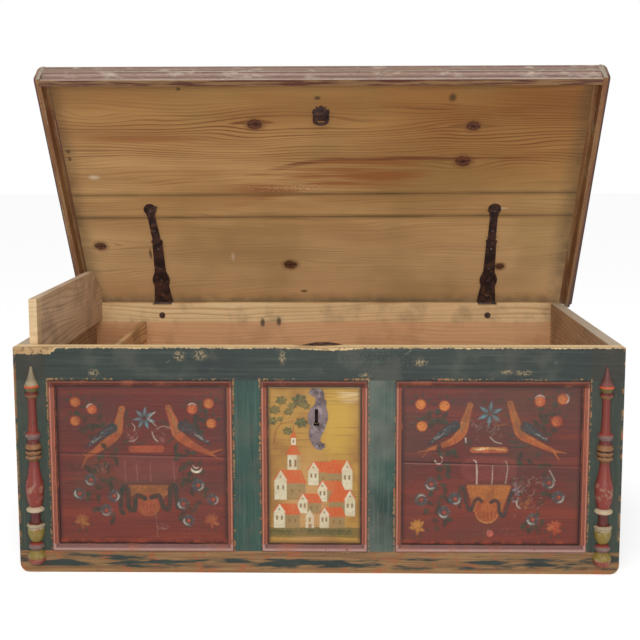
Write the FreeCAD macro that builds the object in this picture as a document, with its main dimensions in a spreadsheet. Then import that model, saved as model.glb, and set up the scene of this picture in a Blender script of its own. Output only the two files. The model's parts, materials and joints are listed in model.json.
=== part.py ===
"""Painted folk chest: dovetailed softwood box with an applied front frame, turned
half balusters, a till, wrought-iron strap hinges, a hasp lock and two bail handles.

The frame has +X to the right, +Y to the back and +Z up, in millimetres, and its
origin is the middle of the footprint on the floor. The lid is drawn shut and then
swung up about the hinge axis to the angle at which it stands open.
"""
import FreeCAD
import Part
import math
import os
import re
from FreeCAD import Placement, Rotation, Vector

# Driving dimensions, in millimetres and degrees
SIZES = {
    # Box
    "chest_length": 1280,
    "chest_depth": 680,
    "chest_height": 490,
    "wall_thick": 26,
    "front_thick": 24,
    "frame_thick": 9,
    "worn_corner_radius": 20,
    "rim_wear_length": 112,
    "rim_wear_depth": 2.5,
    # Joints between boards, down from the rim
    "front_left_joint_drop": 228,
    "front_right_joint_drop": 258,
    "back_top_width": 52,
    "back_joint_drop": 264,
    "left_side_joint_drop": 238,
    "right_side_joint_drop": 252,
    # Dovetails at the four corners
    "tail_wide": 62,
    "tail_narrow": 46,
    # Bottom
    "bottom_thick": 22,
    "batten_lift": 2,
    "batten_width": 36,
    # Front frame
    "top_rail_width": 70,
    "bottom_rail_width": 48,
    "left_outer_stile_width": 72,
    "left_inner_stile_width": 60,
    "centre_panel_width": 225,
    "centre_panel_offset": -7.5,
    "right_inner_stile_width": 59,
    "right_outer_stile_width": 71,
    # Panel mouldings
    "bead_width": 15,
    "bead_high": 12,
    "bead_low": 4,
    "bead_flat": 4,
    # Half balusters
    "baluster_inset": 37,
    "baluster_foot": 21,
    "baluster_drop": 40,
    "baluster_radius": 20,
    # Lock plate on the front
    "escutcheon_width": 43,
    "escutcheon_length": 134,
    "escutcheon_thick": 1.6,
    "escutcheon_drop": 155,
    "escutcheon_nail_radius": 2.6,
    "escutcheon_nail_height": 1.8,
    "keyhole_side": 3,
    "keyhole_sink": 14,
    "keyhole_length": 37,
    "keyhole_width": 7,
    "keyhole_foot_width": 12,
    "keyhole_foot_length": 7,
    # Lock inside the front
    "lock_offset": 10,
    "lock_width": 88,
    "lock_hood_width": 110,
    "lock_hood_depth": 78,
    "lock_hood_length": 56,
    "lock_arch_rise": 10,
    "lock_case_depth": 26,
    "lock_length": 191,
    "lock_drop": 8,
    "lock_wall": 3,
    "lock_slot_gap": 4,
    "bolt_width": 12,
    "bolt_thick": 8,
    "bolt_length": 53,
    "bolt_guide_height": 30,
    "bolt_gap": 0.3,
    "key_post_radius": 2.2,
    "key_post_length": 40,
    # Till at the left end
    "till_width": 124,
    "till_board_thick": 12,
    "till_floor_thick": 12,
    "till_height": 150,
    "till_lid_thick": 17,
    "till_lid_side": 0.4,
    "till_lid_reach": 138,
    "till_lid_end_gap": 2,
    "till_lid_seat_gap": 0.3,
    "till_pivot_drop": 41,
    "till_pin_radius": 5,
    "till_pin_length": 10,
    "till_hole_depth": 11,
    "till_slope_reach": 70,
    "till_slope_length": 88,
    # Lid
    "lid_thick": 29,
    "lid_seat_gap": 0.5,
    "lid_side_gap": 3,
    "lid_front_gap": 4,
    "lid_overhang": 13,
    "lid_flare_angle": 0.8,
    "lid_shift": 2,
    "lid_open_angle": 56.3,
    "lid_front_seam": 361,
    "lid_back_seam": 290,
    "lid_edge_height": 58,
    "lid_front_edge_thick": 20,
    "lid_front_step": 5,
    "lid_side_edge_thick": 23,
    "lid_side_step": 12,
    "lid_side_rebate": 12,
    "lid_fascia_height": 30,
    "lid_edge_round": 4,
    "lid_corner_radius": 22,
    "lid_rear_round": 24,
    # Strap hinges
    "hinge_left_inset": 206,
    "hinge_right_inset": 196,
    "strap_thick": 3.5,
    "strap_length": 333,
    "strap_half_width": 25,
    "strap_left_waist_lean": 5,
    "strap_left_tip_lean": -4,
    "strap_right_waist_lean": -4,
    "strap_right_tip_lean": -6,
    "knuckle_radius": 5.5,
    "knuckle_lid_gap": 0.3,
    "knuckle_width": 26,
    "knuckle_gap": 0.5,
    "hinge_pin_radius": 2.6,
    "pin_clearance": 0.05,
    "notch_gap": 1,
    "notch_depth": 6,
    "leaf_length": 150,
    "leaf_thick": 4,
    "leaf_point": 18,
    "rivet_radius": 3.5,
    "rivet_head_radius": 6,
    "rivet_head_height": 3,
    "rove_radius": 8.5,
    "rove_thick": 2,
    "rivet_high_drop": 33,
    "rivet_low_drop": 122,
    "strap_nail_radius": 4.5,
    "strap_nail_height": 2.2,
    # Hasp on the lid
    "hasp_setback": 61,
    "hasp_plate_thick": 2.2,
    "hasp_plate_length": 28,
    "hasp_plate_width": 42,
    "hasp_loop_thick": 4,
    "hasp_loop_radius": 19,
    "hasp_loop_drop": 41,
    "hasp_eye_width": 20,
    "hasp_eye_height": 13,
    "hasp_eye_drop": 26,
    # Bail handles on the ends
    "handle_height": 330,
    "handle_spread": 124,
    "handle_setout": 12,
    "handle_bar_radius": 5.5,
    "handle_hole_gap": 0.1,
    "handle_end_gap": 0.5,
    "handle_eye_radius": 10.5,
    "handle_eye_width": 9,
    "handle_drop": 72,
    "handle_overhang": 16,
    "handle_bend_radius": 22,
    "handle_plate_radius": 20,
    "handle_plate_thick": 2,
    "handle_shank_width": 8,
    "handle_rove_radius": 9,
    # How much of its radius the flat top of a hammered head keeps, in per cent
    "head_top_share": 45,
    # Overrun of every cutting tool past the face that it cuts
    "overrun": 2,
}
TAIL_COUNT = 5
FACET_COUNT = 8
TURN_COUNT = 12
BEND_COUNT = 3
SIDES = {"left": -1, "right": 1}

# Turned outline of a half baluster from its top: where each stretch ends, as a
# share of the length, its radius there and, on round stretches, halfway along it
BALUSTER_SHARES = [
    (0.005, 0.15, None), (0.094, 0.74, 0.36), (0.102, 0.80, None), (0.122, 0.56, None),
    (0.128, 0.56, None), (0.150, 0.62, 0.74),
    (0.165, 0.42, 0.46), (0.325, 0.52, 0.44), (0.332, 0.72, None), (0.358, 0.72, 0.86),
    (0.378, 0.62, 0.62), (0.392, 0.74, None), (0.416, 0.74, 0.88), (0.440, 0.74, 0.88),
    (0.464, 0.74, 0.88), (0.470, 0.52, None), (0.560, 0.78, 0.60), (0.640, 0.94, 0.96),
    (0.708, 0.66, 0.84), (0.712, 0.84, None), (0.732, 0.84, 0.98), (0.738, 0.54, None),
    (0.788, 0.54, 0.50), (0.795, 0.86, None), (0.812, 0.86, 1.00), (0.890, 0.46, 0.86),
    (0.898, 0.74, None), (0.922, 0.74, 0.88), (0.930, 0.60, None), (1.000, 0.62, 0.98),
]

# Outline of the forged lock plate, clockwise from the curl at its top left, as
# shares of its width and length from its middle
ESCUTCHEON_SHARES = [
    (-0.42, 0.450), (-0.30, 0.497), (0.00, 0.500), (0.24, 0.470), (0.32, 0.400), (0.31, 0.335),
    (0.43, 0.280), (0.40, 0.200), (0.49, 0.095), (0.49, 0.000), (0.38, -0.110), (0.32, -0.180),
    (0.16, -0.270), (0.10, -0.345), (0.20, -0.388), (0.34, -0.395), (0.35, -0.455),
    (0.14, -0.500), (-0.12, -0.480), (-0.30, -0.400), (-0.44, -0.290), (-0.45, -0.200),
    (-0.36, -0.125), (-0.49, -0.040), (-0.49, 0.080), (-0.36, 0.175), (-0.16, 0.225),
    (-0.11, 0.300), (-0.14, 0.365), (-0.30, 0.375), (-0.41, 0.410), (-0.46, 0.430),
]

# Half outline of a strap, from the hinge to its tip: share of the length and
# share of the half width, with the lobe and the rounded end drawn as arcs
STRAP_SHARES = [(0.021, 1.00), (0.150, 0.80), (0.190, 0.78), (0.240, 0.92), (0.295, 0.76),
                (0.330, 0.60), (0.620, 0.52), (0.640, 0.60), (0.660, 0.42), (0.880, 0.38), (0.920, 0.50)]
STRAP_LOBE_START = 2
STRAP_BEND_SHARES = (0.18, 0.60)
STRAP_NAIL_SHARES = (0.07, 0.24, 0.36, 0.56, 0.74, 0.93)
ESCUTCHEON_NAIL_SHARES = ((-0.05, 0.43), (0.05, -0.17), (0.05, -0.43))

# Crown of the hasp's plate: shares of half its width and of its length
CROWN_SHARES = [(0.86, 0.00), (1.00, 0.34), (0.84, 0.62), (0.62, 0.50), (0.58, 0.86), (0.30, 0.74),
                (0.00, 1.00)]

doc = FreeCAD.newDocument("PaintedChest")
sheet = doc.addObject("Spreadsheet::Sheet", "Sizes")
for row, (alias, number) in enumerate(SIZES.items(), start=1):
    sheet.set(f"A{row}", alias)
    sheet.set(f"B{row}", str(number))
    sheet.setAlias(f"B{row}", alias)
doc.recompute()
parts = {}


def size(alias):
    """The value of one cell of the sheet."""
    return float(getattr(sheet, alias))


def bind(item, **expressions):
    """Bind properties, with __ for a dot in a path, to sums of the sheet's cells."""
    for path, text in expressions.items():
        named = re.sub(r"\b([a-z]+(?:_[a-z]+)+|overrun)\b", r"Sizes.\1", text)
        item.setExpression(path.replace("__", "."), named)
    return item


def box(name, x, y, z, length, width, height):
    """A block whose low corner and three sizes follow the sheet."""
    item = doc.addObject("Part::Box", name)
    bind(item, Placement__Base__x=x, Placement__Base__y=y, Placement__Base__z=z)
    return bind(item, Length=length, Width=width, Height=height)


def cylinder(name, radius, height, direction, x, y, z):
    """A round bar from a point of the sheet along a unit direction."""
    item = doc.addObject("Part::Cylinder", name)
    item.Placement.Rotation = Rotation(Vector(0, 0, 1), direction)
    bind(item, Placement__Base__x=x, Placement__Base__y=y, Placement__Base__z=z)
    return bind(item, Radius=radius, Height=height)


def solid(name, shape):
    """An object for a form drawn with curves."""
    item = doc.addObject("Part::Feature", name)
    item.Shape = shape
    return item


def fused(name, items):
    item = doc.addObject("Part::MultiFuse", name)
    item.Shapes = list(items)
    item.Refine = True
    return item


def cut(name, base, tools):
    item = doc.addObject("Part::Cut", name)
    item.Base = base
    item.Tool = tools[0] if len(tools) == 1 else fused(f"{name}_tools", tools)
    item.Refine = True
    return item


def shared(name, base, other):
    item = doc.addObject("Part::Common", name)
    item.Base = base
    item.Tool = other
    item.Refine = True
    return item


def keep(label, item, placement=None):
    """File a finished sub-part under its label."""
    item.Label = label
    if placement is not None:
        item.Placement = placement.multiply(item.Placement)
    parts[label] = item
    return item


def outline(points, direction):
    """A prism on a flat polygon."""
    return Part.Face(Part.makePolygon(list(points) + [points[0]])).extrude(direction)


def arc(start, middle, end):
    return Part.Arc(start, middle, end).toShape()


def line(start, end):
    return Part.makeLine(start, end)


def ring(centre, direction, radius):
    """Corners of a regular polygon round a direction."""
    across = Vector(1, 0, 0) if abs(direction.z) == 1 else direction.cross(Vector(0, 0, 1))
    up = direction.cross(across)
    turns = [2 * math.pi * (index + 0.5) / FACET_COUNT for index in range(FACET_COUNT)]
    return [centre + across * (radius * math.cos(turn)) + up * (radius * math.sin(turn)) for turn in turns]


def faceted(flats):
    """A solid closed by flat faces, each given by its corners."""
    body = Part.Solid(Part.Shell([Part.Face(Part.makePolygon(points + points[:1])) for points in flats]))
    return body.reversed() if body.Volume < 0 else body


def boss(centre, direction, radius, rise, top_radius):
    """A hammered head with flat facets, standing on a face."""
    low, high = ring(centre, direction, radius), ring(centre + direction * rise, direction, top_radius)
    flats = [low, high]
    flats += [[low[index - 1], low[index], high[index], high[index - 1]] for index in range(FACET_COUNT)]
    return faceted(flats)


def nail_head(centre, direction, radius, rise):
    return boss(centre, direction, radius, rise, radius * size("head_top_share") / 100)


def edge_tool(corner, across, up, radius, along):
    """What is taken off an edge to round it, from its corner along a vector."""
    bend = radius * (1 - math.sqrt(0.5))
    start, end = corner + across * radius, corner + up * radius
    outside = [end - across * overrun, corner - (across + up) * overrun, start - up * overrun]
    edges = [arc(start, corner + (across + up) * bend, end), line(end, outside[0]),
             line(outside[0], outside[1]), line(outside[1], outside[2]), line(outside[2], start)]
    return Part.Face(Part.Wire(edges)).extrude(along)


half_length = size("chest_length") / 2
half_depth = size("chest_depth") / 2
height = size("chest_height")
overrun = size("overrun")
inner_front = -half_depth + size("frame_thick") + size("front_thick")
inner_back = half_depth - size("wall_thick")
inner_side = half_length - size("wall_thick")
field_face = -half_depth + size("frame_thick")
lid_under = height + size("lid_seat_gap")
hinge_axis = Vector(0, half_depth + size("knuckle_radius"),
                    lid_under - size("knuckle_radius") - size("knuckle_lid_gap"))
hinge_high = "chest_height + lid_seat_gap - knuckle_radius - knuckle_lid_gap"
inner_near = "(-chest_depth / 2 + frame_thick + front_thick)"
inner_far = "(chest_depth / 2 - wall_thick)"
till_axis_x = "(-chest_length / 2 + wall_thick + till_lid_side + till_lid_thick / 2)"
till_axis_z = "chest_height - till_pivot_drop"
swing = Rotation(Vector(1, 0, 0), -size("lid_open_angle"))
lid_place = Placement(hinge_axis - swing.multVec(hinge_axis), swing)
lid_near = -half_depth - size("lid_front_gap") - size("lid_front_edge_thick")
lid_back = half_depth + size("lid_overhang")


def tails(side, outer, inner):
    """The dovetails of one corner, cut on the side board, widest at the outer face."""
    pitch = height / TAIL_COUNT
    reach = Vector(-side * size("wall_thick"), 0, 0)
    comb = []
    for index in range(TAIL_COUNT):
        middle = (index + 0.5) * pitch
        wide, narrow = size("tail_wide") / 2, size("tail_narrow") / 2
        corners = [(outer, middle - wide), (outer, middle + wide),
                   (inner, middle + narrow), (inner, middle - narrow)]
        comb.append(outline([Vector(side * half_length, y, z) for y, z in corners], reach))
    return Part.makeCompound(comb)


def worn_corners():
    """The two lower corners of the box that wear has rounded, as cutting tools."""
    along = Vector(0, 2 * half_depth + 2 * overrun, 0)
    tools = []
    for side in SIDES.values():
        corner = Vector(side * half_length, -half_depth - overrun, 0)
        radius = size("worn_corner_radius")
        tools.append(edge_tool(corner, Vector(-side, 0, 0), Vector(0, 0, 1), radius, along))
    return solid("WornCorners", Part.makeCompound(tools))


worn = worn_corners()
tail_tools = {}
for side_name, side in SIDES.items():
    for end, outer, inner in (("front", field_face, inner_front), ("back", half_depth, inner_back)):
        tail_tools[side_name, end] = solid(f"Tails_{side_name}_{end}", tails(side, outer, inner))


def wall_holes(name, x, z):
    """A hole through the back for one hinge rivet."""
    return cylinder(name, "rivet_radius", "wall_thick + 2 * overrun", Vector(0, 1, 0), x,
                    f"{inner_far} - overrun", z)


hinge_places = {"left": "(-chest_length / 2 + hinge_left_inset)",
                "right": "(chest_length / 2 - hinge_right_inset)"}
keyhole_foot = "(chest_height - escutcheon_drop - keyhole_sink)"


def keyhole_shape(depth_low, depth_high):
    """A slot with a round top and a wider foot, along Y between two depths."""
    half, foot = size("keyhole_width") / 2, size("keyhole_foot_width") / 2
    low = height - size("escutcheon_drop") - size("keyhole_sink")
    high = low + size("keyhole_length") - half
    step = low + size("keyhole_foot_length")
    middle = -size("keyhole_side")

    def at(x, z):
        return Vector(middle + x, depth_low, z)

    edges = [line(at(-foot, low), at(foot, low)), line(at(foot, low), at(foot, step)),
             line(at(foot, step), at(half, step)), line(at(half, step), at(half, high)),
             arc(at(half, high), at(0, high + half), at(-half, high)),
             line(at(-half, high), at(-half, step)), line(at(-half, step), at(-foot, step)),
             line(at(-foot, step), at(-foot, low))]
    return Part.Face(Part.Wire(edges)).extrude(Vector(0, depth_high - depth_low, 0))


def make_front_boards():
    """Two planks with a joint that runs out of level, dovetailed between the ends."""
    wall = box("FrontWall", "-chest_length / 2", "-chest_depth / 2 + frame_thick", "0",
               "chest_length", "front_thick", "chest_height")
    wear_radius = "rim_wear_length * rim_wear_length / (8 * rim_wear_depth) + rim_wear_depth / 2"
    wear = cylinder("RimWear", wear_radius, "chest_depth", Vector(0, 1, 0), "0", "-chest_depth",
                    f"chest_height - rim_wear_depth + {wear_radius}")
    keyhole = solid("KeyholeTool", keyhole_shape(field_face - overrun, inner_front + overrun))
    pin_hole = cylinder("TillHoleFront", "till_pin_radius + pin_clearance", "till_hole_depth + overrun",
                        Vector(0, -1, 0), till_axis_x, f"{inner_near} + overrun", till_axis_z)
    ends = [tail_tools["left", "front"], tail_tools["right", "front"]]
    shaped = cut("FrontShaped", wall, ends + [worn, wear, keyhole, pin_hole])
    left, right = height - size("front_left_joint_drop"), height - size("front_right_joint_drop")
    reach = Vector(0, size("front_thick") + 2 * overrun, 0)
    near = field_face - overrun
    for label, level in (("front_lower_board", -overrun), ("front_upper_board", height + overrun)):
        corners = [(-half_length - overrun, left), (half_length + overrun, right),
                   (half_length + overrun, level), (-half_length - overrun, level)]
        zone = solid(f"{label}_zone", outline([Vector(x, near, z) for x, z in corners], reach))
        keep(label, shared(f"{label}_part", shaped, zone))
    return wear


def make_back_boards():
    """Three planks, the top one narrow, with the notches for the straps."""
    wall = box("BackWall", "-chest_length / 2", inner_far, "0",
               "chest_length", "wall_thick", "chest_height")
    tools = [tail_tools["left", "back"], tail_tools["right", "back"], worn]
    for side_name, place in hinge_places.items():
        tools.append(box(f"Notch_{side_name}", f"{place} - strap_half_width - notch_gap",
                         f"{inner_far} - overrun", "chest_height - notch_depth",
                         "2 * strap_half_width + 2 * notch_gap", "wall_thick + 2 * overrun",
                         "notch_depth + overrun"))
        for drop in ("rivet_high_drop", "rivet_low_drop"):
            tools.append(wall_holes(f"Hole_{side_name}_{drop}", place, f"chest_height - {drop}"))
    tools.append(cylinder("TillHoleBack", "till_pin_radius + pin_clearance", "till_hole_depth + overrun",
                          Vector(0, 1, 0), till_axis_x, f"{inner_far} - overrun", till_axis_z))
    shaped = cut("BackShaped", wall, tools)
    top_joint, low_joint = "(chest_height - back_top_width)", "(chest_height - back_joint_drop)"
    levels = [("back_lower_board", "0", low_joint), ("back_upper_board", low_joint, top_joint),
              ("back_top_board", top_joint, "chest_height")]
    for label, low, high in levels:
        zone = box(f"{label}_zone", "-chest_length / 2", inner_far, low,
                   "chest_length", "wall_thick", f"{high} - {low}")
        keep(label, shared(f"{label}_part", shaped, zone))


def make_side_boards(side_name, side):
    """Two planks of one end, with the tails that lock into front and back."""
    low_x = "-chest_length / 2" if side < 0 else "chest_length / 2 - wall_thick"
    core = box(f"End_{side_name}", low_x, inner_near, "0",
               "wall_thick", f"{inner_far} - {inner_near}", "chest_height")
    whole = fused(f"Whole_{side_name}", [core, tail_tools[side_name, "front"], tail_tools[side_name, "back"]])
    tools = [worn]
    for end, sign in (("front", "-"), ("back", "+")):
        tools.append(box(f"HandleHole_{side_name}_{end}", f"{low_x} - overrun",
                         f"{sign}handle_spread / 2 - handle_shank_width / 2",
                         "handle_height - handle_shank_width / 2",
                         "wall_thick + 2 * overrun", "handle_shank_width", "handle_shank_width"))
    shaped = cut(f"EndShaped_{side_name}", whole, tools)
    joint = f"(chest_height - {side_name}_side_joint_drop)"
    for level, low, high in (("lower", "0", joint), ("upper", joint, "chest_height")):
        zone = box(f"End_{side_name}_{level}_zone", low_x, "-chest_depth / 2", low,
                   "wall_thick", "chest_depth", f"{high} - {low}")
        keep(f"{side_name}_{level}_board", shared(f"End_{side_name}_{level}", shaped, zone))


def make_bottom():
    """Three boards laid along the chest on a batten at each end."""
    room = f"({inner_far} - {inner_near})"
    left_x, right_x = "-chest_length / 2 + wall_thick", "chest_length / 2 - wall_thick - batten_width"
    for index, name in enumerate(("front", "middle", "back")):
        board = box(f"Bottom_{name}", left_x, f"{inner_near} + {index} * {room} / 3",
                    "bottom_thick", "chest_length - 2 * wall_thick", f"{room} / 3", "bottom_thick")
        keep(f"bottom_{name}_board", board)
    for side_name, side in SIDES.items():
        batten = box(f"Batten_{side_name}", left_x if side < 0 else right_x, inner_near, "batten_lift",
                     "batten_width", room, "bottom_thick - batten_lift")
        keep(f"bottom_batten_{side_name}", batten)


def panel_openings():
    """Where each field of the front starts and ends along X."""
    centre = "(centre_panel_offset - centre_panel_width / 2)"
    centre_end = "(centre_panel_offset + centre_panel_width / 2)"
    return [("(-chest_length / 2 + left_outer_stile_width)", f"({centre} - left_inner_stile_width)"),
            (centre, centre_end),
            (f"({centre_end} + right_inner_stile_width)", "(chest_length / 2 - right_outer_stile_width)")]


def make_frame(wear):
    """Two rails and four stiles laid on the front boards."""
    near = "-chest_depth / 2"
    rail = box("TopRail", "-chest_length / 2", near, "chest_height - top_rail_width",
               "chest_length", "frame_thick", "top_rail_width")
    keep("front_top_rail", cut("TopRailWorn", rail, [wear]))
    rail = box("BottomRail", "-chest_length / 2", near, "0",
               "chest_length", "frame_thick", "bottom_rail_width")
    keep("front_bottom_rail", cut("BottomRailWorn", rail, [worn]))
    fields = panel_openings()
    starts = ["(-chest_length / 2)"] + [field[1] for field in fields]
    ends = [field[0] for field in fields] + ["(chest_length / 2)"]
    tall = "chest_height - top_rail_width - bottom_rail_width"
    stiles = []
    for name, low, high in zip(("outer_left", "inner_left", "inner_right", "outer_right"), starts, ends):
        stile = box(f"Stile_{name}", low, near, "bottom_rail_width", f"{high} - {low}", "frame_thick", tall)
        stiles.append(keep(f"stile_{name}", stile))
    return stiles


def bead_profile(at):
    """Section of a panel moulding: a flat fillet, a quarter round and a low lip."""
    wide, high, low, flat = (size(f"bead_{part}") for part in ("width", "high", "low", "flat"))
    drop = high - low
    slant = math.sqrt(0.5)
    edges = [line(at(0, 0), at(0, high)), line(at(0, high), at(flat, high)),
             arc(at(flat, high), at(flat + drop * slant, low + drop * slant), at(flat + drop, low)),
             line(at(flat + drop, low), at(wide, low)), line(at(wide, low), at(wide, 0)),
             line(at(wide, 0), at(0, 0))]
    return Part.Face(Part.Wire(edges))


def mitred_bead(corner, along, inward, length):
    """One side of a panel moulding, mitred at both ends."""
    def at(across, high):
        return corner + inward * across + Vector(0, -high, 0)

    wide = size("bead_width")
    plan = [corner, corner + along * length, corner + along * (length - wide) + inward * wide,
            corner + along * wide + inward * wide]
    mitre = outline([point + Vector(0, overrun, 0) for point in plan],
                    Vector(0, -size("bead_high") - 2 * overrun, 0))
    return bead_profile(at).extrude(along * length).common(mitre)


def make_panel_mouldings(stiles):
    """A mitred moulding round each field, between the stiles beside it."""
    doc.recompute()
    low, high = size("bottom_rail_width"), height - size("top_rail_width")
    for name, before, after in zip(("left", "centre", "right"), stiles, stiles[1:]):
        left, right = before.Shape.BoundBox.XMax, after.Shape.BoundBox.XMin
        x_way, z_way = Vector(1, 0, 0), Vector(0, 0, 1)
        places = ((left, low), (right, low), (right, high), (left, high))
        corners = [Vector(x, field_face, z) for x, z in places]
        runs = [(corners[0], x_way, z_way, right - left), (corners[1], z_way, -x_way, high - low),
                (corners[2], -x_way, -z_way, right - left), (corners[3], -z_way, x_way, high - low)]
        bars = [mitred_bead(*run) for run in runs]
        keep(f"{name}_panel_moulding", solid(f"Moulding_{name}", Part.makeCompound(bars)))


def make_balusters():
    """Turned spindles split in half and fixed to the outer stiles. Round stretches are
    drawn with two straight ones each, and the round with flats, to keep the export light."""
    radius = size("baluster_radius")
    top = height - size("baluster_drop")
    length = top - size("baluster_foot")
    shares = [(0, 0.03)]
    for down_share, radius_share, bulge_share in BALUSTER_SHARES:
        if bulge_share is not None:
            shares.append(((shares[-1][0] + down_share) / 2, bulge_share))
        shares.append((down_share, radius_share))
    turns = [math.pi * index / TURN_COUNT for index in range(TURN_COUNT + 1)]
    for side_name, side in SIDES.items():
        middle = side * (half_length - size("baluster_inset"))
        rows = [[Vector(middle + radius * out * math.cos(turn), -half_depth - radius * out * math.sin(turn),
                        top - length * down) for turn in turns] for down, out in shares]
        flats = [rows[0], rows[-1], [row[0] for row in rows] + [row[-1] for row in reversed(rows)]]
        for above, below in zip(rows, rows[1:]):
            flats += [[above[index], above[index + 1], below[index + 1], below[index]]
                      for index in range(TURN_COUNT)]
        half = faceted(flats)
        keep(f"baluster_{side_name}", solid(f"Baluster_{side_name}", half))


def make_escutcheon():
    """A forged plate round the keyhole and three nails."""
    wide, length, thick = (size(f"escutcheon_{part}") for part in ("width", "length", "thick"))
    middle = height - size("escutcheon_drop")
    points = [Vector(x * wide, field_face, middle + z * length) for x, z in ESCUTCHEON_SHARES]
    plate = outline(points, Vector(0, -thick, 0))
    plate = plate.cut(keyhole_shape(field_face - thick - overrun, field_face + overrun))
    keep("escutcheon", solid("Escutcheon", plate))
    heads = [nail_head(Vector(x * wide, field_face - thick, middle + z * length), Vector(0, -1, 0),
                       size("escutcheon_nail_radius"), size("escutcheon_nail_height"))
             for x, z in ESCUTCHEON_NAIL_SHARES]
    keep("escutcheon_nails", solid("EscutcheonNails", Part.makeCompound(heads)))


def lock_shape(inset, near):
    """The lock case drawn in by an inset: an arched hood on a shallow box."""
    top = height - size("lock_drop")
    crown, shoulder = top - inset, top - size("lock_arch_rise") - inset
    step, low = top - size("lock_hood_length") + inset, top - size("lock_length") + inset
    half, narrow = size("lock_hood_width") / 2 - inset, size("lock_width") / 2 - inset

    def at(x, z):
        return Vector(size("lock_offset") + x, near, z)

    edges = [line(at(-half, step), at(-half, shoulder)),
             arc(at(-half, shoulder), at(0, crown), at(half, shoulder)),
             line(at(half, shoulder), at(half, step)), line(at(half, step), at(-half, step))]
    far = inner_front - inset
    hood = Part.Face(Part.Wire(edges)).extrude(Vector(0, far + size("lock_hood_depth") - near, 0))
    case = Part.makeBox(2 * narrow, far + size("lock_case_depth") - near, shoulder - low, at(-narrow, low))
    return hood.fuse(case)


def make_lock():
    """A sheet-iron case on the inside of the front, open to the wood, with a slot for
    the hasp, a guide for the bolt and a post for the key."""
    wall = size("lock_wall")
    case = lock_shape(0, inner_front)
    gap = size("lock_slot_gap")
    slot_half = size("hasp_loop_radius") + gap / 2
    slot_depth = size("hasp_loop_thick") + 2 * gap
    slot_tall = size("lock_arch_rise") + 2 * wall
    slot_place = Vector(size("lid_shift") - slot_half, inner_front + size("hasp_setback") - slot_depth / 2,
                        height - size("lock_drop") - slot_tall)
    slot = Part.makeBox(2 * slot_half, slot_depth, slot_tall + overrun, slot_place)
    shell = case.cut(lock_shape(wall, inner_front - overrun)).cut(slot)
    bolt_z = lid_under - size("hasp_eye_drop")
    guide_y = inner_front + size("bolt_length") - 2 * wall
    guide = Part.makeBox(size("lock_hood_width"), wall, size("bolt_guide_height"),
                         Vector(size("lock_offset") - size("lock_hood_width") / 2, guide_y,
                                bolt_z - size("bolt_guide_height") / 2)).common(case)
    bolt_gap = size("bolt_gap")
    window_place = Vector(size("lid_shift") - size("bolt_width") / 2 - bolt_gap, guide_y - overrun,
                          bolt_z - size("bolt_thick") / 2 - bolt_gap)
    window = Part.makeBox(size("bolt_width") + 2 * bolt_gap, wall + 2 * overrun,
                          size("bolt_thick") + 2 * bolt_gap, window_place)
    keep("lock_case", solid("LockCase", shell.fuse(guide.cut(window)).removeSplitter()))
    bolt = box("Bolt", "lid_shift - bolt_width / 2", f"{inner_near} + bolt_gap",
               "chest_height + lid_seat_gap - hasp_eye_drop - bolt_thick / 2",
               "bolt_width", "bolt_length", "bolt_thick")
    keep("lock_bolt", bolt)
    post = cylinder("KeyPost", "key_post_radius", "key_post_length", Vector(0, -1, 0), "-keyhole_side",
                    f"{inner_near} + lock_case_depth - lock_wall",
                    f"{keyhole_foot} + keyhole_length - keyhole_width / 2")
    keep("key_post", post)


def make_till():
    """A divider and a floor that make a small box at the left end."""
    room = f"{inner_far} - {inner_near}"
    low = f"{till_axis_z} - till_lid_thick / 2 - till_lid_seat_gap - till_height - till_floor_thick"
    divider = box("TillDivider", "-chest_length / 2 + wall_thick + till_width", inner_near, low,
                  "till_board_thick", room, "till_height + till_floor_thick")
    keep("till_divider", divider)
    keep("till_floor", box("TillFloor", "-chest_length / 2 + wall_thick", inner_near, low,
                           "till_width", room, "till_floor_thick"))


def make_till_lid():
    """A board that turns on two pins of its own and stands up as the lid's prop. Its
    back corner is sloped so that it folds as the lid comes down."""
    thick, reach = size("till_lid_thick"), size("till_lid_reach")
    gap = size("till_lid_end_gap")
    near, far = inner_front + gap, inner_back - gap
    pivot = height - size("till_pivot_drop")
    left = -inner_side + size("till_lid_side")
    corners = [(near, pivot), (far, pivot), (far, pivot + size("till_slope_reach")),
               (far - size("till_slope_length"), pivot + reach), (near, pivot + reach)]
    board = outline([Vector(left, y, z) for y, z in corners], Vector(thick, 0, 0))
    axis_x, length = left + thick / 2, size("till_pin_length")
    bars = [Part.makeCylinder(thick / 2, far - near, Vector(axis_x, near, pivot), Vector(0, 1, 0))]
    for y, way in ((near, -1), (far, 1)):
        bars.append(Part.makeCylinder(size("till_pin_radius"), length + overrun,
                                      Vector(axis_x, y - way * overrun, pivot), Vector(0, way, 0)))
    keep("till_lid", solid("TillLid", board.fuse(bars).removeSplitter()))


def lid_y(reach):
    """The place along Y, on the shut lid, at a distance in front of the hinge axis."""
    return hinge_axis.y - reach


def lid_side_x(side, out):
    """The place along X of a line beside the shut lid, before the right side is flared."""
    return side * (half_length + size("lid_side_gap") + out) + size("lid_shift")


def flared(side, shape):
    """Turn what runs along the right side of the shut lid outwards to the back."""
    if side > 0:
        shape.rotate(Vector(lid_side_x(side, 0), lid_near, 0), Vector(0, 0, 1), -size("lid_flare_angle"))
    return shape


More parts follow.
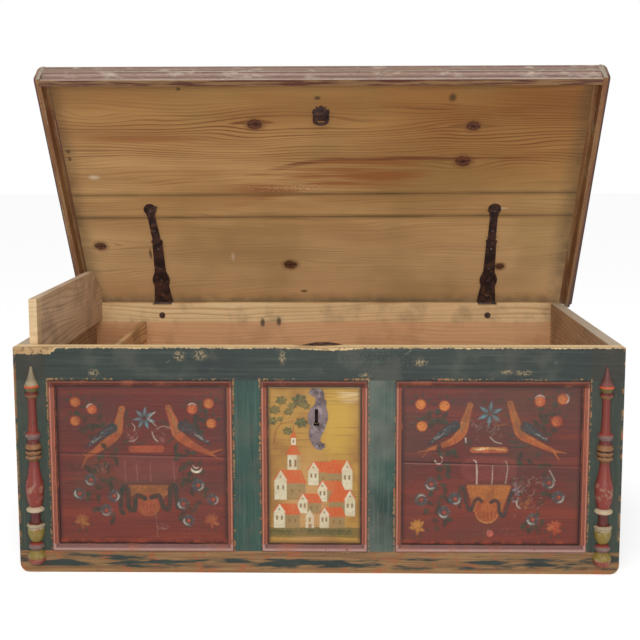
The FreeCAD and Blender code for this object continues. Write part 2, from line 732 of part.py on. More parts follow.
def make_lid_boards():
    """Three boards across the lid, edge to edge, trimmed at the right to the flare."""
    length = lid_back - lid_near + 2 * overrun
    depth = "(chest_depth + lid_overhang + lid_front_gap + lid_front_edge_thick)"
    spare = size("lid_side_rebate") + length * math.tan(math.radians(size("lid_flare_angle")))
    corner = Vector(lid_side_x(1, -size("lid_side_rebate")), lid_near - overrun, lid_under - overrun)
    block = Part.makeBox(spare, length, size("lid_thick") + 2 * overrun, corner)
    trim = solid("LidTrim", flared(1, block))
    reach_end = "chest_depth + knuckle_radius + lid_front_gap"
    reaches = (("front", reach_end, "lid_front_seam"), ("middle", "lid_front_seam", "lid_back_seam"),
               ("back", "lid_back_seam", "(knuckle_radius - lid_overhang)"))
    for name, near, far in reaches:
        board = box(f"LidBoard_{name}", "-chest_length / 2 - lid_side_gap + lid_side_rebate + lid_shift",
                    f"chest_depth / 2 + knuckle_radius - ({near})", "chest_height + lid_seat_gap",
                    f"chest_length + 2 * lid_side_gap - 2 * lid_side_rebate + {depth} * tan(lid_flare_angle)",
                    f"{near} - {far}", "lid_thick")
        whole = doc.addObject("Part::Compound", f"LidBoardPlaced_{name}")
        whole.Links = [cut(f"LidBoardTrimmed_{name}", board, [trim])]
        keep(f"lid_{name}_board", whole, lid_place)


def lid_edge_section(at, place):
    """Section of the lid's moulding: two fascias with a hollow between, and a rounded top edge."""
    thick, step = size(f"lid_{place}_edge_thick"), size(f"lid_{place}_step")
    fascia, rounding = size("lid_fascia_height"), size("lid_edge_round")
    top = size("lid_thick")
    low = top - size("lid_edge_height")
    split, lower = top - fascia, thick - step
    hollow, bend = step * (1 - math.sqrt(0.5)), rounding * (1 - math.sqrt(0.5))
    edges = [line(at(0, low), at(lower, low)), line(at(lower, low), at(lower, split - step)),
             arc(at(lower, split - step), at(lower + hollow, split - hollow), at(thick, split)),
             line(at(thick, split), at(thick, top - rounding)),
             arc(at(thick, top - rounding), at(thick - bend, top - bend), at(thick - rounding, top)),
             line(at(thick - rounding, top), at(0, top)), line(at(0, top), at(0, low))]
    return Part.Face(Part.Wire(edges))


def make_lid_mouldings():
    """The lid's applied edge on three sides, hanging over the rim when it is shut. The
    side ones run through to the front and let the lid's boards into a rebate."""
    front = lid_near + size("lid_front_edge_thick")
    left = lid_side_x(-1, 0)

    def section_front(out, up):
        return Vector(left, front - out, lid_under + up)

    bar = lid_edge_section(section_front, "front").extrude(Vector(lid_side_x(1, 0) - left, 0, 0))
    keep("lid_front_moulding", solid("LidEdge_front", bar), lid_place)
    edge, tall = size("lid_side_edge_thick"), size("lid_edge_height")
    for side_name, side in SIDES.items():

        def section_side(out, up, side=side):
            return Vector(lid_side_x(side, out), lid_near, lid_under + up)

        edge_x, strip_x = lid_side_x(side, 0), lid_side_x(side, -size("lid_side_rebate"))
        strip = Part.makeBox(size("lid_side_rebate"), lid_back - front, size("lid_thick"),
                             Vector(min(edge_x, strip_x), front, lid_under))
        bar = lid_edge_section(section_side, "side").extrude(Vector(0, lid_back - lid_near, 0)).fuse(strip)
        plan_corner = Vector(lid_side_x(side, edge), lid_near, lid_under - tall)
        rear_corner = Vector(lid_side_x(side, -edge), lid_back, lid_under + size("lid_thick") - tall)
        tools = [edge_tool(plan_corner, Vector(-side, 0, 0), Vector(0, 1, 0), size("lid_corner_radius"),
                           Vector(0, 0, 2 * tall)),
                 edge_tool(rear_corner, Vector(0, -1, 0), Vector(0, 0, 1), size("lid_rear_round"),
                           Vector(side * 3 * edge, 0, 0))]
        bar = flared(side, bar.cut(tools).removeSplitter())
        keep(f"lid_{side_name}_moulding", solid(f"LidEdge_{side_name}", bar), lid_place)


def strap_middle(side_name, length_share):
    """The line of a strap along X: it was forged a little out of true."""
    place = SIDES[side_name] * (half_length - size(f"hinge_{side_name}_inset"))
    waist, tip = size(f"strap_{side_name}_waist_lean"), size(f"strap_{side_name}_tip_lean")
    bend_start, bend_end = STRAP_BEND_SHARES
    if length_share < bend_end:
        return place + waist * max(0, length_share - bend_start) / (bend_end - bend_start)
    return place + waist + (tip - waist) * (length_share - bend_end) / (1 - bend_end)


def strap_outline(side_name):
    """The forged outline of one strap on the underside of the shut lid."""
    length, half = size("strap_length"), size("strap_half_width")

    def at(length_share, width_share):
        x = strap_middle(side_name, length_share) + width_share * half
        return Vector(x, lid_y(length_share * length), lid_under)

    lobe = STRAP_LOBE_START
    edges = []
    for way in (1, -1):
        run = [at(length_share, way * width_share) for length_share, width_share in STRAP_SHARES]
        straight = [index for index in range(len(run) - 1) if index not in (lobe, lobe + 1)]
        edges += [line(run[index], run[index + 1]) for index in straight]
        edges.append(arc(*run[lobe:lobe + 3]))
    start, last = STRAP_SHARES[0], STRAP_SHARES[-1]
    edges.append(arc(at(*last), at(1, 0), at(last[0], -last[1])))
    edges.append(line(at(start[0], -start[1]), at(*start)))
    return Part.Face(Part.Wire(Part.__sortEdges__(edges)))


def make_straps():
    """Strap hinges under the lid, each rolled into a knuckle round its pin."""
    nails = []
    nail_radius, nail_rise = size("strap_nail_radius"), size("strap_nail_height")
    thick, half = size("strap_thick"), size("knuckle_width") / 2
    neck_length = STRAP_SHARES[1][0] * size("strap_length")
    for side_name in SIDES:
        middle = strap_middle(side_name, 0)
        plate = strap_outline(side_name).extrude(Vector(0, 0, -thick))
        neck_place = Vector(middle - half, lid_y(neck_length), lid_under - thick)
        neck = Part.makeBox(2 * half, neck_length, thick, neck_place)
        ring_start = Vector(middle - half, hinge_axis.y, hinge_axis.z)
        knuckle = Part.makeCylinder(size("knuckle_radius"), 2 * half, ring_start, Vector(1, 0, 0))
        bore = Part.makeCylinder(size("hinge_pin_radius") + size("pin_clearance"), 2 * half + 2 * overrun,
                                 ring_start - Vector(overrun, 0, 0), Vector(1, 0, 0))
        strap = plate.fuse([neck, knuckle]).cut(bore).removeSplitter()
        keep(f"hinge_strap_{side_name}", solid(f"Strap_{side_name}", strap), lid_place)
        for length_share in STRAP_NAIL_SHARES:
            place = Vector(strap_middle(side_name, length_share), lid_y(length_share * size("strap_length")),
                           lid_under - thick)
            nails.append(nail_head(place, Vector(0, 0, -1), nail_radius, nail_rise))
    keep("strap_nails", solid("StrapNails", Part.makeCompound(nails)), lid_place)


def make_leaf(side_name, middle):
    """The fixed half of a hinge: a pointed plate on the back with two knuckles."""
    half = size("strap_half_width")
    inner = size("knuckle_width") / 2 + size("knuckle_gap")
    thick, gap = size("leaf_thick"), size("knuckle_gap")
    low = height - size("leaf_length")
    point = size("leaf_point")
    shoulder = hinge_axis.z - size("knuckle_radius") - gap
    corners = [(-half, hinge_axis.z), (-inner, hinge_axis.z), (-inner, shoulder), (inner, shoulder),
               (inner, hinge_axis.z), (half, hinge_axis.z), (half, shoulder - point),
               (half - point / 2, low + point), (0, low), (-half + point / 2, low + point),
               (-half, shoulder - point)]
    leaf = outline([Vector(middle + x, half_depth, z) for x, z in corners], Vector(0, thick, 0))
    for start in (-half, inner):
        ring_start = Vector(middle + start, hinge_axis.y, hinge_axis.z)
        leaf = leaf.fuse(Part.makeCylinder(size("knuckle_radius"), half - inner, ring_start, Vector(1, 0, 0)))
    bore = Part.makeCylinder(size("hinge_pin_radius") + size("pin_clearance"), 2 * half + 2 * overrun,
                             Vector(middle - half - overrun, hinge_axis.y, hinge_axis.z), Vector(1, 0, 0))
    holes = [Part.makeCylinder(size("rivet_radius"), thick + 2 * overrun,
                               Vector(middle, half_depth - overrun, height - size(drop)), Vector(0, 1, 0))
             for drop in ("rivet_high_drop", "rivet_low_drop")]
    keep(f"hinge_leaf_{side_name}", solid(f"Leaf_{side_name}", leaf.cut([bore] + holes).removeSplitter()))


def make_leaf_rivets(side_name, middle):
    """Rivets through the back, headed outside and clenched over roves inside."""
    rivets = []
    outside = half_depth + size("leaf_thick")
    rove, way = size("rove_thick"), Vector(0, 1, 0)
    for drop in ("rivet_high_drop", "rivet_low_drop"):
        inside = Vector(middle, inner_back - rove, height - size(drop))
        shank = Part.makeCylinder(size("rivet_radius"), outside - inside.y, inside, way)
        head = nail_head(Vector(middle, outside, inside.z), way,
                         size("rivet_head_radius"), size("rivet_head_height"))
        washer = boss(inside, way, size("rove_radius"), rove, size("rove_radius"))
        end = nail_head(inside, -way, size("rivet_radius"), rove)
        rivets.append(shank.fuse([head, washer, end]).removeSplitter())
    keep(f"hinge_rivets_{side_name}", solid(f"Rivets_{side_name}", Part.makeCompound(rivets)))


def make_hinges():
    make_straps()
    for side_name in SIDES:
        middle = strap_middle(side_name, 0)
        make_leaf(side_name, middle)
        make_leaf_rivets(side_name, middle)
        pin = cylinder(f"HingePin_{side_name}", "hinge_pin_radius", "2 * strap_half_width", Vector(1, 0, 0),
                       f"{hinge_places[side_name]} - strap_half_width", "chest_depth / 2 + knuckle_radius",
                       hinge_high)
        keep(f"hinge_pin_{side_name}", pin)


def make_hasp():
    """A crowned plate on the lid with a round loop that drops into the lock."""
    middle = size("lid_shift")
    thick = size("hasp_loop_thick")
    place = inner_front + size("hasp_setback")
    radius, drop = size("hasp_loop_radius"), size("hasp_loop_drop")
    level = lid_under - drop + radius
    near = place - thick / 2

    def at(x, z):
        return Vector(middle + x, near, z)

    edges = [line(at(-radius, lid_under), at(-radius, level)),
             arc(at(-radius, level), at(0, level - radius), at(radius, level)),
             line(at(radius, level), at(radius, lid_under)),
             line(at(radius, lid_under), at(-radius, lid_under))]
    loop = Part.Face(Part.Wire(edges)).extrude(Vector(0, thick, 0))
    eye_half, eye_rise = size("hasp_eye_width") / 2, size("hasp_eye_height") / 2
    eye_z = lid_under - size("hasp_eye_drop")
    side_half = eye_half - eye_rise / 2
    low, high = eye_z - eye_rise, eye_z + eye_rise
    eye_edges = [line(at(-side_half, low), at(side_half, low)),
                 arc(at(side_half, low), at(eye_half, eye_z), at(side_half, high)),
                 line(at(side_half, high), at(-side_half, high)),
                 arc(at(-side_half, high), at(-eye_half, eye_z), at(-side_half, low))]
    eye = Part.Face(Part.Wire(eye_edges)).extrude(Vector(0, thick, 0))
    half_width, length = size("hasp_plate_width") / 2, size("hasp_plate_length")
    points = [Vector(middle + way * x * half_width, near - z * length, lid_under)
              for way, shares in ((1, CROWN_SHARES), (-1, CROWN_SHARES[-2::-1])) for x, z in shares]
    crown = outline(points, Vector(0, 0, -size("hasp_plate_thick")))
    foot = Part.makeBox(2 * radius, length / 2, size("hasp_plate_thick"),
                        Vector(middle - radius, near, lid_under - size("hasp_plate_thick")))
    hasp = loop.cut(eye).fuse([crown, foot]).removeSplitter()
    keep("lid_hasp", solid("Hasp", hasp), lid_place)


def make_handles():
    """Bail handles hung in two eyes on each end, their square shanks clenched inside."""
    bar, spread, level = size("handle_bar_radius"), size("handle_spread") / 2, size("handle_height")
    eye, plate, rove = size("handle_eye_radius"), size("handle_plate_radius"), size("handle_rove_radius")
    shank_half = size("handle_shank_width") / 2
    square = ((-1, -1), (1, -1), (1, 1), (-1, 1))
    for side_name, side in SIDES.items():
        wall = side * half_length
        axis_x = wall + side * size("handle_setout")
        mounts = []
        for end in (-1, 1):
            place = Vector(axis_x, end * spread - size("handle_eye_width") / 2, level)
            knob = Part.makeCylinder(eye, size("handle_eye_width"), place, Vector(0, 1, 0))
            hole = Part.makeCylinder(bar + size("handle_hole_gap"), size("handle_eye_width") + 2 * overrun,
                                     place - Vector(0, overrun, 0), Vector(0, 1, 0))
            inside, way = Vector(side * inner_side, end * spread, level), Vector(side, 0, 0)
            shank = outline([inside + Vector(0, y * shank_half, z * shank_half) for y, z in square],
                            way * (size("wall_thick") + size("handle_setout") - bar))
            shield = boss(Vector(wall, end * spread, level), way, plate, size("handle_plate_thick"), plate)
            washer = boss(inside, -way, rove, size("rove_thick"), rove)
            mounts.append(knob.fuse([shank, shield, washer]).cut(hole).removeSplitter())
        keep(f"handle_mounts_{side_name}", solid(f"Mounts_{side_name}", Part.makeCompound(mounts)))
        make_bail(side_name, axis_x)


def make_bail(side_name, axis_x):
    """One bar: round where it turns in the eyes, hammered to eight faces between them."""
    bar, level, bend = size("handle_bar_radius"), size("handle_height"), size("handle_bend_radius")
    inner = size("handle_spread") / 2 - size("handle_eye_width")
    outer = size("handle_spread") / 2 + size("handle_overhang")
    low = level - size("handle_drop")
    turn = size("handle_overhang") - size("handle_eye_width") / 2 - size("handle_end_gap")

    def at(y, z):
        return Vector(axis_x, y, z)

    def bent(centre_y, centre_z, radius, out, first, last):
        """Points round a bend, on the given side of its centre, between two angles."""
        angles = [first + (last - first) * index / BEND_COUNT for index in range(BEND_COUNT + 1)]
        return [at(centre_y + out * radius * math.cos(math.radians(angle)),
                   centre_z + radius * math.sin(math.radians(angle))) for angle in angles]

    pins = [Part.makeCylinder(bar, outer - turn - inner, at(end * inner, level), Vector(0, end, 0))
            for end in (-1, 1)]
    points = []
    for end in (-1, 1):
        half = bent(end * (outer - turn), level - turn, turn, end, 90, 0)
        half += bent(end * (outer - bend), low + bend, bend, end, 0, -90)
        points += half if end < 0 else half[::-1]
    section = ring(points[0], Vector(0, 1, 0), bar)
    bail = Part.makePolygon(points).makePipeShell([Part.makePolygon(section + section[:1])], True, True, 1)
    keep(f"handle_bail_{side_name}", solid(f"Bail_{side_name}", bail.fuse(pins)))


def check_and_export():
    """Stop on any failed object, then write one file for each sub-part."""
    doc.recompute()
    for item in doc.Objects:
        if "Invalid" in item.State or "Error" in item.State:
            raise RuntimeError(f"{item.Name} did not compute: {item.State}")
    os.makedirs("parts", exist_ok=True)
    for label, item in parts.items():
        shape = item.Shape
        if shape.isNull() or not shape.isValid() or not shape.Solids:
            raise RuntimeError(f"{label} has no valid solid")
    for label, item in parts.items():
        item.Shape.exportStep(f"parts/{label}.step")
        volume = sum(piece.Volume for piece in item.Shape.Solids)
        print(f"{label}: {len(item.Shape.Solids)} solid(s), {volume / 1000:.1f} cm3")


rim_wear = make_front_boards()
make_back_boards()
for side_name, side in SIDES.items():
    make_side_boards(side_name, side)
make_bottom()
front_stiles = make_frame(rim_wear)
make_panel_mouldings(front_stiles)
make_balusters()
make_escutcheon()
make_lock()
make_till()
make_till_lid()
make_lid_boards()
make_lid_mouldings()
make_hinges()
make_hasp()
make_handles()
check_and_export()
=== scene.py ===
import json
from math import atan2, cos, pi, radians, sin

import bpy
import numpy as np
from mathutils import Matrix, Vector

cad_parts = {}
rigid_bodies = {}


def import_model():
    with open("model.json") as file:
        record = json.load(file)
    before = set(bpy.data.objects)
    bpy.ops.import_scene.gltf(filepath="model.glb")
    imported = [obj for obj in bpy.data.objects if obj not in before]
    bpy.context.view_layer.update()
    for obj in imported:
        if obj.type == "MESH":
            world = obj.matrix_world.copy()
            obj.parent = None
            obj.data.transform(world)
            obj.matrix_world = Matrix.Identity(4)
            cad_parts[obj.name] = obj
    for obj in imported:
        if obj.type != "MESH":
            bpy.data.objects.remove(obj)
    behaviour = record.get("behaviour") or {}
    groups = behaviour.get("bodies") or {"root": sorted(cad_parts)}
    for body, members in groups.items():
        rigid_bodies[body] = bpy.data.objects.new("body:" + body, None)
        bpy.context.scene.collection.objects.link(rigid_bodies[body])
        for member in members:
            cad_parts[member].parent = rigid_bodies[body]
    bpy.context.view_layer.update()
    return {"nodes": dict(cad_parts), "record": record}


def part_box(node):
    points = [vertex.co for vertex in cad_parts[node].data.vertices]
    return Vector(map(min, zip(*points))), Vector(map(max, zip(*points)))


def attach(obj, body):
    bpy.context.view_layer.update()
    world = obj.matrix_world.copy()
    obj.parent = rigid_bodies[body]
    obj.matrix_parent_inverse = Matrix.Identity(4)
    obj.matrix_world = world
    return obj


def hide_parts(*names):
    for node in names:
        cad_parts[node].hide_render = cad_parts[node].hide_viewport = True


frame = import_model()
nodes = frame["nodes"]
print("frame loaded:", len(nodes), "nodes")


def deselectAll():
    for item in list(bpy.data.objects):
        item.select_set(False)


deselectAll()
bpy.context.scene.view_settings.view_transform = "Standard"


# Sockets as values that can be added and multiplied, and small helpers that make them

class Value:
    def __init__(self, socket):
        self.socket = socket

    def __add__(self, other):
        return maths("ADD", self, other)

    def __mul__(self, other):
        return maths("MULTIPLY", self, other)

    def __sub__(self, other):
        return maths("SUBTRACT", self, other)

    def __truediv__(self, other):
        return maths("DIVIDE", self, other)

    def __abs__(self):
        return maths("ABSOLUTE", self)

    def __rsub__(self, other):
        return maths("SUBTRACT", other, self)

    __radd__, __rmul__ = __add__, __mul__


def srgb(tone):
    # a tone as on screen to the linear value that a shader takes
    parts = [int(tone[place:place + 2], 16) / 255 for place in (1, 3, 5)]
    return (*[v / 12.92 if v <= 0.0393 else ((v + 0.055) / 1.055) ** 2.4 for v in parts], 1)


def plug(value, socket):
    if isinstance(value, Value):
        socket.id_data.links.new(value.socket, socket)
    else:
        socket.default_value = srgb(value) if isinstance(value, str) else value


def addNode(kind, options=None, *values, **named):
    # values go into the first inputs, named ones into the inputs of those names
    given = [value for value in (*values, *named.values()) if isinstance(value, Value)]
    node = given[0].socket.id_data.nodes.new("ShaderNode" + kind)
    for name, value in (options or {}).items():
        setattr(node, name, value)
    for value, socket in zip(values, node.inputs):
        plug(value, socket)
    for name, value in named.items():
        plug(value, node.inputs[name])
    return node


def maths(operation, *values):
    return Value(addNode("Math", {"operation": operation}, *values).outputs[0])


def most(first, second):
    return maths("MAXIMUM", first, second)


def least(first, second):
    return maths("MINIMUM", first, second)


def layer(below, above, mask, blend="MIX"):
    node = addNode("Mix", {"data_type": "RGBA", "blend_type": blend}, mask)
    plug(below, node.inputs[6])
    plug(above, node.inputs[7])
    return Value(node.outputs[2])


def coats(colour, look, rows):
    # each row: a tone of the look, where it shows and perhaps a way of blending
    for name, *rest in rows:
        colour = layer(colour, look[name], *rest)
    return colour


def placed(vector, location=(0, 0, 0), rotation=(0, 0, 0), scale=(1, 1, 1)):
    return Value(addNode("Mapping", None, vector, location, rotation, scale).outputs[0])


def combine(x=0, y=0, z=0):
    return Value(addNode("CombineXYZ", None, x, y, z).outputs[0])


def split(vector):
    return [Value(socket) for socket in addNode("SeparateXYZ", None, vector).outputs]


def noise(vector, scale=1, detail=3, roughness=0.55):
    node = addNode("TexNoise", Vector=vector, Scale=scale, Detail=detail, Roughness=roughness)
    return Value(node.outputs[0])


def stretched(along, across, alongScale, acrossScale, detail=3, seed=0):
    return noise(combine(along * alongScale, across * acrossScale, seed), 1, detail)


def step(value, low, high):
    # 0 below low, 1 above high, smooth between; low may be the larger
    return Value(addNode("MapRange", {"interpolation_type": "SMOOTHSTEP"}, value, low, high).outputs[0])


def band(value, low, high, soft):
    return step(value, low - soft, low + soft) * step(value, high + soft, high - soft)


def ramp(value, look, stops, constant=False):
    # stops: the place and a tone of the look, or one of its own
    node = addNode("ValToRGB", None, value)
    elements = node.color_ramp.elements
    node.color_ramp.interpolation = "CONSTANT" if constant else "LINEAR"
    while len(elements) < len(stops):
        elements.new(1)
    for element, (place, tone) in zip(elements, stops):
        element.position = place
        element.color = srgb(look.get(tone, tone))
    return Value(node.outputs[0])


def ellipse(first, second, middle, reach):
    # distance from the middle, 1 on an ellipse of that reach
    place = placed(combine(first, second), (-middle[0] / reach[0], -middle[1] / reach[1], 0), (0, 0, 0),
                   (1 / reach[0], 1 / reach[1], 0))
    return Value(addNode("VectorMath", {"operation": "LENGTH"}, place).outputs["Value"])


def spot(first, second, middle, reach, soft=0.5):
    return step(ellipse(first, second, middle, reach), 1 + soft, 1 - soft)


def chips(vector, scale, threshold, soft=0.02, detail=5):
    # worn or knocked-off patches: a higher threshold leaves fewer of them
    return step(noise(vector, scale, detail, 0.6), threshold - soft, threshold + soft)


def scratches(vector, turn, scale, threshold, long=12):
    x, _, z = split(placed(vector, rotation=(0, radians(turn), 0)))
    return step(stretched(x, z, scale / long, scale, 2, turn), threshold, threshold + 0.03)


def newMaterial(name, roughness, metallic=0, specular=0.3):
    material = bpy.data.materials.new(name)
    material.use_nodes = True
    nodesOf = material.node_tree.nodes
    shader = nodesOf["Principled BSDF"]
    shader.inputs["Roughness"].default_value = roughness
    shader.inputs["Metallic"].default_value = metallic
    shader.inputs["Specular IOR Level"].default_value = specular
    return material, Value(nodesOf.new("ShaderNodeTexCoord").outputs["Object"])


def finished(material, colour, height, distance=0.0005, roughness=None):
    shader = material.node_tree.nodes["Principled BSDF"]
    plug(colour, shader.inputs["Base Color"])
    bump = addNode("Bump", Height=height, Strength=1, Distance=distance)
    plug(Value(bump.outputs[0]), shader.inputs["Normal"])
    if roughness:
        plug(roughness, shader.inputs["Roughness"])
    return material


def dress(material, *names):
    for name in names:
        slots = nodes[name].data.materials
        slots.clear()
        slots.append(material)


# Camera, where the photograph was taken from
camera = {"place": (0.045008, -2.5202, 0.896272), "pitchDown": 6.844, "yaw": 1.044, "roll": -0.134,
    "lens": 59.695, "shiftUp": -0.0644}


def addCamera(settings):
    data = bpy.data.cameras.new("camera")
    data.sensor_width = 36
    data.lens = settings["lens"]
    data.shift_y = settings["shiftUp"]
    item = bpy.data.objects.new("camera", data)
    bpy.context.scene.collection.objects.link(item)
    item.location = settings["place"]
    turns = ((settings["yaw"], "Z"), (90 - settings["pitchDown"], "X"), (settings["roll"], "Z"))
    yaw, pitch, roll = [Matrix.Rotation(radians(angle), 3, axis) for angle, axis in turns]
    item.rotation_mode = "XYZ"
    item.rotation_euler = (yaw @ pitch @ roll).to_euler()
    bpy.context.scene.camera = item


addCamera(camera)
print("camera placed")


# Light and floor
studio = {"skyStrength": 0.5, "keyPlace": (-0.6, -2.4, 3.4), "keySize": 2.6, "keyPower": 37,
    "fillPlace": (0.3, -3.9, 0.95), "fillSize": 2.2, "fillPower": 56, "floorSize": 40, "floorTone": 0.92,
    "floorGlow": 0.5}


def seenDirectly(tree):
    # 1 for what the camera sees, also in a mirror or through glass, and 0 for what only lights
    path = tree.nodes.new("ShaderNodeLightPath")
    rays = [Value(path.outputs["Is " + kind + " Ray"]) for kind in ("Camera", "Glossy", "Transmission")]
    return most(rays[0], most(rays[1], rays[2]))


def addSky(settings):
    world = bpy.data.worlds.new("studioSky")
    world.use_nodes = True
    bpy.context.scene.world = world
    background = world.node_tree.nodes["Background"]
    dim = settings["skyStrength"]
    plug((1, 1, 1, 1), background.inputs["Color"])
    plug(maths("MULTIPLY_ADD", seenDirectly(world.node_tree), 1 - dim, dim), background.inputs["Strength"])


def addSoftbox(name, place, size, power, target=(0, 0, 0.45)):
    data = bpy.data.lights.new(name, "AREA")
    data.shape = "SQUARE"
    data.size = size
    data.energy = power
    item = bpy.data.objects.new(name, data)
    bpy.context.scene.collection.objects.link(item)
    item.location = place
    item.rotation_euler = (Vector(target) - Vector(place)).to_track_quat("-Z", "Y").to_euler()


def addFloor(settings):
    bpy.ops.mesh.primitive_plane_add(size=settings["floorSize"])
    floor = bpy.context.object
    floor.name = "floor"
    material = newMaterial("paleFloor", 0.9, 0, 0)[0]
    sockets = material.node_tree.nodes["Principled BSDF"].inputs
    plug((settings["floorTone"],) * 3 + (1,), sockets["Base Color"])
    plug((1, 1, 1, 1), sockets["Emission Color"])
    plug(seenDirectly(material.node_tree) * settings["floorGlow"], sockets["Emission Strength"])
    floor.data.materials.append(material)
    deselectAll()


addSky(studio)
addSoftbox("key", studio["keyPlace"], studio["keySize"], studio["keyPower"])
addSoftbox("fill", studio["fillPlace"], studio["fillSize"], studio["fillPower"])
addFloor(studio)
print("studio lit")


# Pine: growth lines along a board, bent round its knots
pineLook = {"lines": 85, "sway": 0.1, "streaks": 420, "knots": ()}


def pineFigure(along, across, changes):
    look = {**pineLook, **changes}
    bent = across
    knotMask, ringMask, coreMask = 0, 0, 0
    for middleAlong, middleAcross, radius in look["knots"]:
        offset = across - middleAcross
        near = ellipse(along, across, (middleAlong, middleAcross), (5 * radius, 2.6 * radius))
        fall = maths("EXPONENT", near * near * -1)
        side = offset / (abs(offset) + 0.35 * radius)
        bent = bent - fall * side * (1.15 * radius)
        core = ellipse(along, across, (middleAlong, middleAcross), (1.25 * radius, 1 * radius))
        core = core + (noise(combine(along, across), 70, 3) - 0.5) * 0.5
        knotMask = most(knotMask, step(core, 1.1, 0.75))
        ringMask = most(ringMask, step(core, 1.9, 1))
        rim = band(core, 0.7, 1.04, 0.12) * step(noise(combine(along, across), 130, 3), 0.3, 0.55)
        heart = step(core, 0.62, 0.25) * step(stretched(along, across, 90, 160), 0.42, 0.54)
        check = band(offset, -0.0011, 0.0009, 0.0006) * step(core, 1.15, 0.95)
        coreMask = most(coreMask, most(rim * 0.65, most(heart, check)))
    sway = stretched(along, across, 1.3, 7, 2, look.get("seed", 0))
    flow = bent + (sway - 0.5) * look["sway"]
    wander = stretched(along, flow, 2.5, 26, 2, 4)
    wave = maths("SINE", flow * (2 * pi * look["lines"]) + wander * 9)
    return {"lines": step(wave, 0.2, 0.95), "streaks": stretched(along, flow, 2.2, look["streaks"], 3),
        "cloud": stretched(along, across, 2.4, 14, 3, 7), "knots": knotMask, "rings": ringMask,
        "cores": coreMask, "wander": wander}


def pineTone(figure, tones, knotsToo=True):
    # tones: pale wood, middle wood, growth line, knot
    colour = layer(tones[0], tones[1], step(figure["cloud"], 0.35, 0.65))
    colour = layer(colour, tones[2], figure["lines"] * step(figure["wander"], 0.22, 0.7) * 0.8)
    colour = layer(colour, tones[2], step(figure["streaks"], 0.48, 0.72) * 0.45)
    return addKnots(colour, figure, tones) if knotsToo else colour


def addKnots(colour, figure, tones):
    if figure["knots"] == 0:
        return colour
    colour = layer(colour, tones[2], figure["rings"] * 0.55)
    colour = layer(colour, tones[3], figure["knots"] * 0.85)
    return layer(colour, tones[4], figure["cores"] * 0.95) if len(tones) > 4 else colour


# Lid boards, drawn along the lid: x, then out from the hinge, then up through the wood
lid = {"angle": 56.3, "axisY": 0.3455, "axisZ": 0.4847, "seams": (0.361, 0.29), "topOfBoards": 0.0348,
    "marks": (((-0.565, 0.415), (0.012, 0.006)), ((-0.44, 0.035), (0.01, 0.012)),
        ((0.452, 0.318), (0.016, 0.003)), ((-0.235, 0.16), (0.004, 0.012))),
    "stains": (((-0.616, 0.492), (0.005, 0.005)), ((-0.616, 0.47), (0.004, 0.006)),
        ((-0.452, 0.17), (0.003, 0.016)), ((0.31, 0.64), (0.008, 0.01)), ((-0.006, 0.64), (0.007, 0.005)),
        ((-0.33, 0.665), (0.005, 0.004)), ((0.43, 0.31), (0.01, 0.003)), ((-0.42, 0.322), (0.004, 0.004)),
        ((0.44, 0.225), (0.014, 0.003)), ((0.437, 0.19), (0.01, 0.003)), ((-0.05, 0.04), (0.008, 0.004))),
    "knots": ((-0.157, 0.568, 0.014), (0.365, 0.562, 0.013), (0.347, 0.462, 0.015), (-0.084, 0.133, 0.013),
        (-0.58, 0.196, 0.012), (0.469, 0.126, 0.01)), "pale": "#c69c66", "middle": "#b48957",
    "line": "#7a4e2c", "knot": "#623422", "core": "#281612", "honey": "#deccb4", "seam": "#422e1e",
    "shadow": "#765a36", "grime": "#584a34", "red": "#92562e", "streak": "#683822", "paleTowardsHinge": "#f4cc98",
    "greenish": "#967a48", "chalk": "#e0ceb2", "top": "#60362e", "topDeep": "#4a2824", "topWorn": "#8c6c54"}


def lidCoordinates(at, look):
    angle = radians(look["angle"])
    y, z = look["axisY"], look["axisZ"]
    turned = placed(at, (0, -(y * cos(angle) - z * sin(angle)),
        -(y * sin(angle) + z * cos(angle))), (angle, 0, 0))
    x, back, up = split(turned)
    return x, back * -1, up


